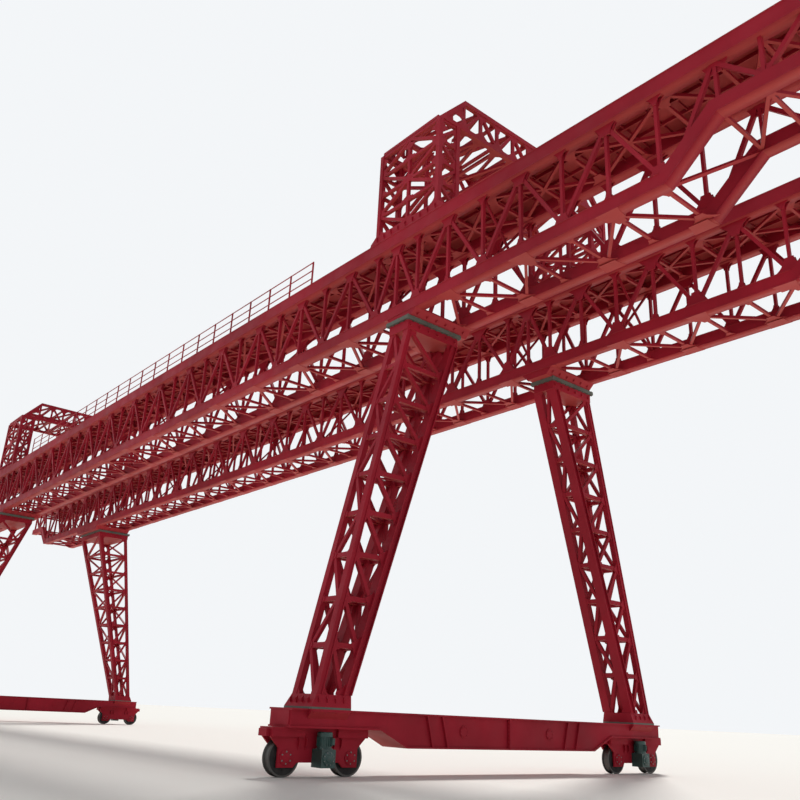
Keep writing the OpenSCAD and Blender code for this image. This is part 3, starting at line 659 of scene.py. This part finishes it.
weld_plates("bracing_gussets", bracing_gussets(under_low, low_joints, high_joints)
            + bracing_gussets(under_top, low_joints, low_joints),
            reach=0.19, length=0.42, free_length=0.12)
weld_plates("strut_gussets", bracing_gussets(under_low, high_joints, low_joints)
            + bracing_gussets(under_top, high_joints, high_joints),
            reach=0.11, length=0.22, free_length=0.07)

# %% Lay lap plates under the chords
lap_over = 0.012
lap_down = 0.003
lap_length = 0.36
lap_limit = kink_x - lap_length / 2 - 0.01
laps = []
for side in sides:
    for at_joints, y, inward in ((low_joints, inner_y - lap_over, 1),
                                 (high_joints, outer_y + lap_over, -1)):
        for x in at_joints:
            x = max(-lap_limit, min(lap_limit, x))
            laps.append(((x, side * y, low_z - lap_down), (0, 0, 1), (0, side * inward, 0)))
weld_plates("chord_laps", laps, reach=chord_w + 0.05, length=lap_length, free_length=0.28,
            thickness=0.006)

# %% Roll the lips of the chords
lip_t = 0.012
lip_over = 0.010
proud = 0.002
level_end = kink_x - kink_cut
lip_end = end_x - 0.003
low_path = [(-lip_end, nose_rise), (-nose_x, nose_rise), (-kink_x, 0), (kink_x, 0),
            (nose_x, nose_rise), (lip_end, nose_rise)]
lips = []
for side in sides:
    for y in (side * inner_plane, side * outer_plane):
        for level in (web_top + lip_t / 2 - proud, top_z - lip_t / 2 + proud):
            lips.append(((-lip_end, y, level), (lip_end, y, level)))
        level = low_z + lip_t / 2 - proud
        for (x0, z0), (x1, z1) in zip(low_path, low_path[1:]):
            lips.append(((x0, y, level + z0), (x1, y, level + z1)))
        level = web_low - lip_t / 2 + proud
        lips.append(((-level_end, y, level), (level_end, y, level)))
set_bars("chord_lips", lips, width=chord_w + 2 * lip_over, height=lip_t)

# %% [markdown]
# ## Frames inside the girders
# A box of four trusses would lean over without cross frames. At every second lower joint two
# thin angles cross between the inner and the outer truss, and joists carry the walkway plate
# between its two stringers. They show through the lattice from every side.

# %% Fit sway frames and joists
sway_w = 0.036
sway_in = 0.04
sway = []
for side in sides:
    inner, outer = side * (inner_plane + sway_in), side * (outer_plane - sway_in)
    for x in low_joints[1:-1:2]:
        left, right = x - sway_w / 2, x + sway_w / 2
        sway.append(((left, inner, web_low), (left, outer, web_top)))
        sway.append(((right, outer, web_low), (right, inner, web_top)))
set_bars("sway_frames", sway, width=sway_w, height=sway_w)
deck_t = 0.016
joist_h = 0.045
joist_t = 0.012
pitch = 0.4
along_girder = centred(int(2 * end_x / pitch), pitch)
joist_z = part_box("front_deck")[1].z - deck_t - joist_h / 2 + proud
joists = [((x, side * brace_in, joist_z), (x, side * brace_out, joist_z))
          for side in sides for x in along_girder]
set_bars("deck_joists", joists, width=joist_t, height=joist_h)

# %% [markdown]
# ## The portals
# Four square posts stand over each leg, and a beam with sloping corners joins the two towers.
# In the picture the openings of this lattice look almost round. That comes from the same
# hollow-sided plates, which fill each corner between a post, a level bar and a diagonal.

# %% Weld the gussets of the portal towers
portal_foot_h = 0.165
tower_w = 0.49
portal_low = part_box("right_portal_towers")[0].z + portal_foot_h
beam_z, portal_top = (corner.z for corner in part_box("right_portal_beam"))
portal_half = 0.8075
portal_chord = 0.084
tower_in = outer_y - tower_w
tower_bays = 4
under_beam = 0.17
recess = 0.015
seam = 0.001
plate_x = portal_half - recess - thin / 2 + proud
plate_edge = portal_half - portal_chord + sunk
corner_plates, centre_plates = [], []
for end, side in pairs:
    for k in range(tower_bays + 1):
        z = portal_low + k * (beam_z - portal_low) / tower_bays
        z -= under_beam if k == tower_bays else 0
        for sx in sides:
            x = end * station_x + sx * plate_x
            for y, inward in ((tower_in + portal_chord, 1), (outer_y - portal_chord, -1)):
                corner_plates.append(((x, side * (y - inward * sunk), z), (sx, 0, 0),
                                      (0, side * inward, 0)))
        for y, out in ((tower_in + recess, -1), (outer_y - recess, 1)):
            y = side * (y - out * (thin / 2 - proud))
            for sx in sides:
                x = end * station_x + sx * plate_edge
                corner_plates.append(((x, y, z), (0, side * out, 0), (-sx, 0, 0)))
                x = end * station_x + sx * seam / 2
                centre_plates.append(((x, y, z), (0, side * out, 0), (sx, 0, 0)))
weld_plates("tower_corner_gussets", corner_plates, reach=0.12, length=0.28, free_length=0.05)
weld_plates("tower_centre_gussets", centre_plates, reach=0.15, length=0.17, free_length=0.04)

# %% Weld the gussets of the portal beams
beam_bays = 4
portal_corner = 0.6
slope_spots = (-0.22, 0.12)
beam_pitch = (outer_y - portal_corner) / beam_bays
slope = direction(0, -portal_corner, portal_top - beam_z)
slope_middle = (outer_y - portal_corner / 2, (beam_z + portal_top) / 2)
low_edge = beam_z + portal_chord - sunk
high_edge = portal_top - portal_chord + sunk
plates, plan_plates = [], []
for end in sides:
    for i in range(-beam_bays, beam_bays + 1):
        y = i * beam_pitch
        inside = abs(i) < beam_bays
        for sx in sides:
            x = end * station_x + sx * plate_x
            plates.append(((x, y, low_edge), (sx, 0, 0), (0, 0, 1)))
            if inside:
                plates.append(((x, y, high_edge), (sx, 0, 0), (0, 0, -1)))
            x = end * station_x + sx * plate_edge
            for z, up in ((beam_z + recess, -1), (portal_top - recess, 1))[:1 + inside]:
                plan_plates.append(((x, y, z - up * (thin / 2 - proud)), (0, 0, up),
                                    (-sx, 0, 0)))
    for side, sx in pairs:
        x = end * station_x + sx * plate_x
        along = Vector((0, side * slope.y, slope.z))
        inward = Vector((0, -side * slope.z, -abs(slope.y)))
        middle = Vector((x, side * slope_middle[0], slope_middle[1]))
        for t in slope_spots:
            spot = middle + along * t + inward * (portal_chord - sunk)
            plates.append((spot, (sx, 0, 0), inward))
weld_plates("beam_gussets", plates, reach=0.16, length=0.36, free_length=0.08)
weld_plates("beam_plan_gussets", plan_plates, reach=0.16, length=0.34, free_length=0.07)

# %% Bolt the portal feet down
base_half_x = portal_half + 0.145
base_lip_h = 0.016
bolt_x = base_half_x - 0.028
bolt_z = top_z + 0.055 + 0.020
bolt_y = [tower_in + 0.045 + i * 0.1 for i in range(5)]
rib_x = centred(9, 0.19)
foot_rib_z = top_z + 0.085
base_bars, portal_bolts, foot_ribs = [], [], []
for end, side in pairs:
    low, high = end * station_x - base_half_x, end * station_x + base_half_x
    z = top_z + base_lip_h / 2
    for y in (tower_in + 0.006, outer_y - 0.006):
        base_bars.append(((low, side * y, z), (high, side * y, z)))
    for sx in sides:
        x = end * station_x + sx * bolt_x
        portal_bolts += [((x, side * y, bolt_z), direction(sx * 0.6, 0, 0.8), (0, 1, 0))
                         for y in bolt_y]
    for y, out in ((outer_y, 1), (tower_in, -1)):
        y = side * (y - out * sunk)
        foot_ribs += [((end * station_x + x, y, foot_rib_z), (1, 0, 0), (0, side * out, 0))
                      for x in rib_x]
set_bars("portal_foot_lips", base_bars, width=0.03, height=base_lip_h)
fit_bolts("portal_bolts", portal_bolts, head=(0.036, 0.016), washer=(0.048, 0.004))
weld_plates("portal_foot_ribs", foot_ribs, reach=0.03, length=0.14, free_length=0.06)

# %% [markdown]
# ## The legs
# A leg narrows towards its foot and leans out, so nothing on it is square to the world. Each
# place is worked out from the leg's own lines: how far up the leg it is, which post it is on,
# and which way that post and that face run. Plates sit in the shallow recess between the posts
# and the bars. The posts are rolled sections, so the two faces that look along the girders
# are hollow between a pair of flange edges.

# %% Find places on a leg
foot_y = 3.4
foot_half_x, foot_half_y = 0.275, 0.265
head_y, head_half_y = 1.74, 0.55
head_half_x = {1: 0.22, -1: 0.915}
foot_level = 0.81
leg_h = 5.985
leg_low, leg_high = foot_level + 0.18, 6.603
leg_bays = 9
post_w = {"inner": 0.130, "outer": 0.090}
into_leg = {"inner": 1, "outer": -1}
bar_recess = 0.016
levels = [leg_low + (leg_high - leg_low) * k / leg_bays for k in range(leg_bays + 1)]
foot_off = {"inner": -foot_half_y, "outer": foot_half_y}
head_off = {"inner": -head_half_y, "outer": head_half_y}


def leg_x(end, z):
    t = (z - foot_level) / leg_h
    return foot_half_x + (head_half_x[end] - foot_half_x) * t


def leg_y(post, z):
    t = (z - foot_level) / leg_h
    low = foot_y + foot_off[post]
    return low + (head_y + head_off[post] - low) * t


def lean_x(end):
    return (head_half_x[end] - foot_half_x) / leg_h


def lean_y(post):
    return (head_y + head_off[post] - foot_y - foot_off[post]) / leg_h


def post_point(end, side, sx, post, z, in_x, in_y):
    """A point at one height, so far in from the outer corner of a post along X and Y."""
    x = end * station_x + sx * (leg_x(end, z) - in_x)
    return Vector((x, side * (leg_y(post, z) + into_leg[post] * in_y), z))


print("leg levels, m:", [round(z, 2) for z in levels])

# %% Weld the gussets of the legs
def leg_faces(end, side, sx):
    """The two faces that each post shows: kind of face, post, facing and the way in."""
    found = []
    for post, into in into_leg.items():
        found.append(("end", post, direction(sx, 0, -lean_x(end)), Vector((0, side * into, 0))))
        found.append(("side", post, direction(0, -side * into, into * lean_y(post)),
                      Vector((-sx, 0, 0))))
    return found


leg_plates = {"end": [], "side": []}
for end, side, sx in triples:
    for face, post, facing, into in leg_faces(end, side, sx):
        axis = direction(sx * lean_x(end), side * lean_y(post), 1)
        reach_way = facing.cross(axis).normalized()
        if reach_way.dot(into) < 0:
            reach_way = -reach_way
        insets = (bar_recess - thin / 2 + 0.001, post_w[post] - sunk)
        in_x, in_y = insets if face == "end" else insets[::-1]
        for z in levels:
            spot = post_point(end, side, sx, post, z, in_x, in_y)
            leg_plates[face].append((spot, facing, reach_way))
weld_plates("leg_end_gussets", leg_plates["end"], reach=0.11, length=0.32, free_length=0.05)
weld_plates("leg_side_gussets", leg_plates["side"], reach=0.050, length=0.20, free_length=0.06)

# %% Fit the level frames inside the legs
level_bar_h = 0.026
plate_in = 0.065
under_bar = Vector((0, 0, proud - level_bar_h / 2 - thin / 2))
frame_bars, frame_plates = [], []
for end, side in pairs:
    for k, z in enumerate(levels[1:-1]):
        corners = [post_point(end, side, sx, post, z, post_w[post] / 2, post_w[post] / 2)
                   for sx, post in ((-1, "inner"), (1, "outer"), (1, "inner"), (-1, "outer"))]
        start, stop = corners[:2] if k % 2 else corners[2:]
        frame_bars.append((start, stop))
        way = (stop - start).normalized()
        for corner, along in ((start, way), (stop, -way)):
            frame_plates.append((corner + along * plate_in + under_bar, (0, 0, -1), along))
set_bars("leg_level_frames", frame_bars, width=0.044, height=level_bar_h)
weld_plates("leg_level_plates", frame_plates, reach=0.15, length=0.15, free_length=0.048)


# %% [markdown]
# ## Solid pieces from outlines
# Some pieces are one of a kind: the flange edges of the leaning posts, covers and housings.
# They are small closed solids drawn with bmesh. One helper pushes an outline along a direction,
# another turns a profile round an axis, and many such solids go into one mesh.

# %% Helpers for solid pieces
def new_piece(name, shape, finish, body="root", smooth=False):
    bmesh.ops.recalc_face_normals(shape, faces=shape.faces)
    mesh = bpy.data.meshes.new(name)
    shape.to_mesh(mesh)
    shape.free()
    mesh.materials.append(finish)
    if smooth:
        for face in mesh.polygons:
            face.use_smooth = True
        mesh.set_sharp_from_angle(angle=math.radians(35))
    piece = bpy.data.objects.new(name, mesh)
    scene.collection.objects.link(piece)
    settle(piece, body)


print("a piece is closed, painted and settled")

# %% Helpers that draw solids
def push_outline(shape, outline, along):
    near = [shape.verts.new(point) for point in outline]
    far = [shape.verts.new(Vector(point) + Vector(along)) for point in outline]
    shape.faces.new(near[::-1])
    shape.faces.new(far)
    for i, point in enumerate(near):
        j = (i + 1) % len(near)
        shape.faces.new((point, near[j], far[j], far[i]))


def turn_profile(shape, centre, axis, profile, steps=24, ring=False):
    """A solid of revolution. The profile gives (distance along the axis, radius) pairs. A
    ring closes its profile on itself, and any other solid gets two flat ends."""
    axis = Vector(axis).normalized()
    first = axis.orthogonal().normalized()
    second = axis.cross(first)
    rings = []
    for along, radius in profile:
        rings.append([shape.verts.new(
            Vector(centre) + axis * along + first * radius * math.cos(2 * math.pi * i / steps)
            + second * radius * math.sin(2 * math.pi * i / steps)) for i in range(steps)])
    for low, high in zip(rings, rings[1:] + rings[:1] if ring else rings[1:]):
        for i in range(steps):
            j = (i + 1) % steps
            shape.faces.new((low[i], low[j], high[j], high[i]))
    if not ring:
        shape.faces.new(rings[0][::-1])
        shape.faces.new(rings[-1])


def block(shape, low, high):
    """A box between two of its corners."""
    (x0, y0, z0), (x1, y1, z1) = low, high
    push_outline(shape, [(x0, y0, z0), (x1, y0, z0), (x1, y1, z0), (x0, y1, z0)],
                 (0, 0, z1 - z0))


print("solid helpers are ready")

# %% Raise the flange edges of the posts
edge_w = 0.016
edge_h = {"inner": 0.036, "outer": 0.012}
shape = bmesh.new()
for end, side, sx in triples:
    for post, into in into_leg.items():
        for in_y in (0.0, post_w[post] - edge_w):
            start, stop = (post_point(end, side, sx, post, z, proud, in_y)
                           for z in (leg_low, leg_high))
            across = Vector((0, side * into * edge_w, 0))
            deep = Vector((sx * (edge_h[post] + proud), 0, 0))
            push_outline(shape, [start, start + across, start + across + deep, start + deep],
                         stop - start)
new_piece("post_flange_edges", shape, red_paint)

# %% [markdown]
# ## Bolts and ribs at the leg heads and feet
# A leg meets its girder at a ring of two flanges, pulled together by bolts on the underside and
# the top. Above it the bracket spreads the load, with bolts along its sloping sides. Below, the
# foot has short stiffeners, and bolts hold its plate down to the sill.

# %% Bolt the legs to the girders
joint_z = foot_level + leg_h
flange_t = 0.032
bolt_out = 0.030
bracket_over = 0.012
bracket_rise = 0.064
head_bolt_z = leg_high + 0.085
y_low = leg_y("inner", leg_high) - bolt_out
y_high = leg_y("outer", leg_high) + bolt_out
ring_bolts, bracket_bolts, head_bolts = [], [], []
for end, side in pairs:
    head_x = leg_x(end, leg_high)
    half = head_x + bolt_out
    count_x = 5 if end > 0 else 13
    ring = [(sx * half, y) for sx in sides for y in spread(y_low, y_high, 10)]
    ring += [(x, y) for y in (y_low, y_high) for x in spread(-half, half, count_x)[1:-1]]
    ring_bolts += [((end * station_x + x, side * y, joint_z + up * flange_t), (0, 0, up),
                    (1, 0, 0)) for x, y in ring for up in sides]
    for sx in sides:
        x = end * station_x + sx * (head_x + bracket_over + bracket_rise)
        z = joint_z + flange_t + bracket_rise
        bracket_bolts += [((x, side * y, z), direction(sx, 0, -1), (0, 1, 0))
                          for y in spread(inner_y + 0.12, outer_y - 0.12, 6)]
        x = end * station_x + sx * (head_x + bracket_over)
        head_bolts += [((x, side * y, head_bolt_z), (sx, 0, 0), (0, 1, 0))
                       for y in spread(y_low + 0.08, y_high - 0.08, 6)]
fit_bolts("flange_bolts", ring_bolts, head=(0.028, 0.012), washer=(0.034, 0.003),
          finish=primer, slot="bare_flange")
fit_bolts("bracket_bolts", bracket_bolts + head_bolts, head=(0.046, 0.020),
          washer=(0.062, 0.006))

# %% Bolt and stiffen the feet
rib_z = foot_level + 0.105
rib_over = 0.008
bolt_over = 0.026
base_t = 0.030
across_foot = spread(-0.2, 0.2, 4)
base_bolts, foot_ribs = [], []
for end, side in pairs:
    for sx in sides:
        x = end * station_x + sx * (foot_half_x + bolt_over)
        base_bolts += [((x, side * y, foot_level - base_t), (0, 0, -1), (1, 0, 0))
                       for y in spread(foot_y - foot_half_y, foot_y + foot_half_y, 4)]
        x = end * station_x + sx * (foot_half_x + rib_over)
        foot_ribs += [((x, side * (foot_y + y), rib_z), (0, 1, 0), (sx, 0, 0))
                      for y in across_foot]
    for out in sides:
        y = side * (foot_y + out * (foot_half_y + rib_over))
        foot_ribs += [((end * station_x + x, y, rib_z), (1, 0, 0), (0, side * out, 0))
                      for x in across_foot]
fit_bolts("foot_bolts", base_bolts, head=(0.032, 0.014), washer=(0.040, 0.004))
weld_plates("foot_stiffeners", foot_ribs, reach=0.036, length=0.13, free_length=0.05)

# %% [markdown]
# ## The sill beams
# A sill is a welded box with proud top and bottom plates. It comes in two halves, and a pair of
# end flanges with a row of bolts joins them in the middle. Its ends are closed by plates, and
# round bolted covers close the hand holes through which the inside was welded.

# %% Dress the sill beams
sill_x = 0.235
sill_top = foot_level
sill_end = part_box("right_sill")[1].y
sill_mid_low = sill_top - 0.45
splice_out = 0.045
splice_y = 0.020
splice_inset = 0.004
cover_t = 0.012
cover_r = 0.085
end_plate_x = sill_x - 0.02
sill_bolts, hatch_bolts = [], []
shape = bmesh.new()
for end in sides:
    for sx in sides:
        face = end * station_x + sx * sill_x
        x0, x1 = sorted((face, face + sx * splice_out))
        for y0, y1 in ((-splice_y, -0.002), (0.002, splice_y)):
            block(shape, (x0, y0, sill_mid_low + splice_inset),
                  (x1, y1, sill_top - splice_inset))
        sill_bolts += [((face + sx * 0.024, way * splice_y, z), (0, way, 0), (0, 0, 1))
                       for z in spread(sill_mid_low + 0.05, sill_top - 0.05, 7)
                       for way in sides]
        for y in (-0.95, 0.95):
            centre = Vector((face - sx * sunk, y, sill_top - 0.215))
            turn_profile(shape, centre, (sx, 0, 0), [(0, cover_r), (cover_t + sunk, cover_r)])
            hatch_bolts += bolt_circle(centre, sx, cover_t + sunk, 0.066, 8)
    for side in sides:
        y0, y1 = sorted((side * sill_end, side * (sill_end + cover_t)))
        block(shape, (end * station_x - end_plate_x, y0, sill_top - 0.20),
              (end * station_x + end_plate_x, y1, sill_top - base_t))
new_piece("sill_hand_hole_covers", shape, red_paint)
fit_bolts("sill_bolts", sill_bolts, head=(0.026, 0.011), washer=(0.034, 0.003))
fit_bolts("hatch_bolts", hatch_bolts, head=(0.016, 0.007), washer=(0.021, 0.002))


# %% [markdown]
# ## Bogies and wheels
# The bearings of each axle sit in round housings on the bogie's side plates, closed by caps
# with a ring of bolts. The wheels carry a raised hub and a bolt ring on both sides, and those
# turn with the wheel.

# %% Fit the bearing caps
bogie_y = 3.4
wheel_step = 0.5
wheel_r = 0.23
side_x = 0.107
rib_y = (-0.33, -0.22, 0.22, 0.33)
rib_level = 0.41
cap_shape = bmesh.new()
cap_bolts = []
cap_profile = [(-0.004, 0.088), (0.010, 0.088), (0.016, 0.080), (0.018, 0.060), (0.030, 0.052),
               (0.034, 0.040)]
for end, side, step in triples:
    y = side * bogie_y + step * wheel_step
    for sx in sides:
        centre = Vector((end * station_x + sx * side_x, y, wheel_r))
        turn_profile(cap_shape, centre, (sx, 0, 0), cap_profile)
        cap_bolts += bolt_circle(centre, sx, 0.016, 0.069, 6, shift=1)
new_piece("bearing_caps", cap_shape, red_paint, smooth=True)
fit_bolts("cap_bolts", cap_bolts, head=(0.016, 0.008), washer=(0.021, 0.002), finish=bolt_zinc)
rib_places = []
for end, side, sx in triples:
    x = end * station_x + sx * (side_x - 0.003)
    rib_places += [((x, side * bogie_y + y, rib_level), (0, 1, 0), (sx, 0, 0)) for y in rib_y]
weld_plates("bogie_ribs", rib_places, reach=0.040, length=0.20, free_length=0.08)

# %% Fit hubs and bolt rings on the wheels
half_wheel = 0.065
hub_profile = [(-0.003, 0.100), (0.004, 0.100), (0.006, 0.094)]
rim_profile = [(-0.003, 0.196), (0.003, 0.196), (0.003, 0.186), (-0.003, 0.186)]
for name, axle in wheel_axle.items():
    hub = bmesh.new()
    places = []
    for sx in sides:
        face = axle + Vector((sx * half_wheel, 0, 0))
        turn_profile(hub, face, (sx, 0, 0), hub_profile, steps=32)
        turn_profile(hub, face, (sx, 0, 0), rim_profile, steps=40, ring=True)
        places += bolt_circle(face, sx, -0.0005, 0.145, 8)
    new_piece(name + "_hub", hub, wheel_finish[name], body=name, smooth=True)
    fit_bolts(name + "_bolts", places, head=(0.024, 0.004), washer=(0.032, 0.002),
              finish=wheel_finish[name], slot="wheel_steel", body=name)

# %% [markdown]
# ## Travel drives
# A gear case hangs on the side of each bogie, and its brake motor stands on it. A motor of this
# kind is cast with upright cooling fins, and has a sheet steel fan cowl on top and a terminal
# box on one side. Fins are the sort of repeat that suits the gusset tree.

# %% Finish the travel drives
case_half = 0.108
motor_r = 0.09
motor_low = wheel_r + case_half
motor_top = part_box("travel_drives")[1].z
fin_z = motor_low + 0.45 * (motor_top - motor_low)
fin_count = 22
cowl_h = 0.055
bolt_square = (0.07, 0.075)
fins, case_bolts = [], []
body_shape, cowl_shape = bmesh.new(), bmesh.new()
for end, side in pairs:
    centre = Vector((end * (station_x + side_x + case_half), side * bogie_y, 0))
    for i in range(fin_count):
        angle = 2 * math.pi * i / fin_count
        way = Vector((math.cos(angle), math.sin(angle), 0))
        spot = centre + way * (motor_r - 0.002) + Vector((0, 0, fin_z))
        around = Vector((-math.sin(angle), math.cos(angle), 0))
        fins.append((spot, around, way))
    seat = centre + Vector((0, 0, motor_low))
    turn_profile(body_shape, seat, (0, 0, 1), [(0, 0.100), (0.016, 0.100), (0.018, 0.094)])
    cowl = centre + Vector((0, 0, motor_top - cowl_h))
    turn_profile(cowl_shape, cowl, (0, 0, 1), [
        (0, 0.099), (0.046, 0.099), (0.053, 0.094), (cowl_h, 0.085)], steps=32)
    box_y = centre.y + 0.086
    block(body_shape, (centre.x - 0.045, box_y, fin_z - 0.04),
          (centre.x + 0.045, box_y + 0.045, fin_z + 0.04))
    case_x = end * (station_x + side_x + 2 * case_half)
    cover = Vector((case_x, centre.y, wheel_r))
    turn_profile(body_shape, cover, (end, 0, 0), [
        (-0.003, 0.086), (0.008, 0.086), (0.012, 0.078), (0.014, 0.045), (0.022, 0.040),
        (0.024, 0.030)])
    case_bolts += bolt_circle(cover, end, 0.009, 0.074, 8, shift=1)
    for sy, sx in pairs:
        spot = Vector((centre.x + sx * bolt_square[0], centre.y + sy * bolt_square[1],
                       motor_low))
        case_bolts.append((spot, (0, 0, 1), (1, 0, 0)))
new_piece("drive_cases", body_shape, green_enamel, smooth=True)
new_piece("fan_cowls", cowl_shape, green_enamel, smooth=True)
weld_plates("motor_fins", fins, reach=0.014, length=0.118, free_length=0.108, thickness=0.004,
            finish=green_enamel, slot="drive_green")
fit_bolts("drive_bolts", case_bolts, head=(0.014, 0.007), washer=(0.018, 0.0015),
          finish=bolt_zinc, slot="drive_green")

# %% [markdown]
# ## Rails and handrails
# Clips hold the trolley rail down on both sides, each with its bolt, every 400 mm. The handrail
# posts stand in flat shoes on the chord.

# %% Clip the trolley rails down
rail_foot = 0.036
clip_half = 0.014
clips, clip_bolts = [], []
for side in sides:
    for x in along_girder:
        for way in sides:
            y = side * inner_plane + way * (rail_foot - clip_half)
            clips.append(((x, y, top_z + 0.013), (0, 0, 1), (0, way, 0)))
            y = side * inner_plane + way * (rail_foot + clip_half)
            clip_bolts.append(((x, y, top_z + 0.018), (0, 0, 1), (1, 0, 0)))
weld_plates("rail_clips", clips, reach=0.048, length=0.044, free_length=0.038, thickness=0.012,
            finish=rail_steel, slot="rail_steel")
fit_bolts("rail_clip_bolts", clip_bolts, head=(0.016, 0.009), washer=(0.020, 0.002),
          finish=bolt_zinc, slot="rail_steel")

# %% Set the handrail posts in shoes
rail_posts = 22
post_y = outer_y - chord_w / 4
shoe_half = 0.05
shoes, shoe_bolts = [], []
for side in sides:
    for x in centred(rail_posts, panel / 2):
        shoes.append(((x - shoe_half, side * post_y, top_z + 0.006), (0, 0, 1), (1, 0, 0)))
        for way in sides:
            spot = (x + way * 0.034, side * post_y, top_z + 0.010)
            shoe_bolts.append((spot, (0, 0, 1), (1, 0, 0)))
weld_plates("handrail_shoes", shoes, reach=0.10, length=0.052, free_length=0.052, thickness=0.008)
fit_bolts("handrail_bolts", shoe_bolts, head=(0.014, 0.007), washer=(0.018, 0.002),
          finish=bolt_zinc)
print("triangles added in all:", sum(added_faces.values()))
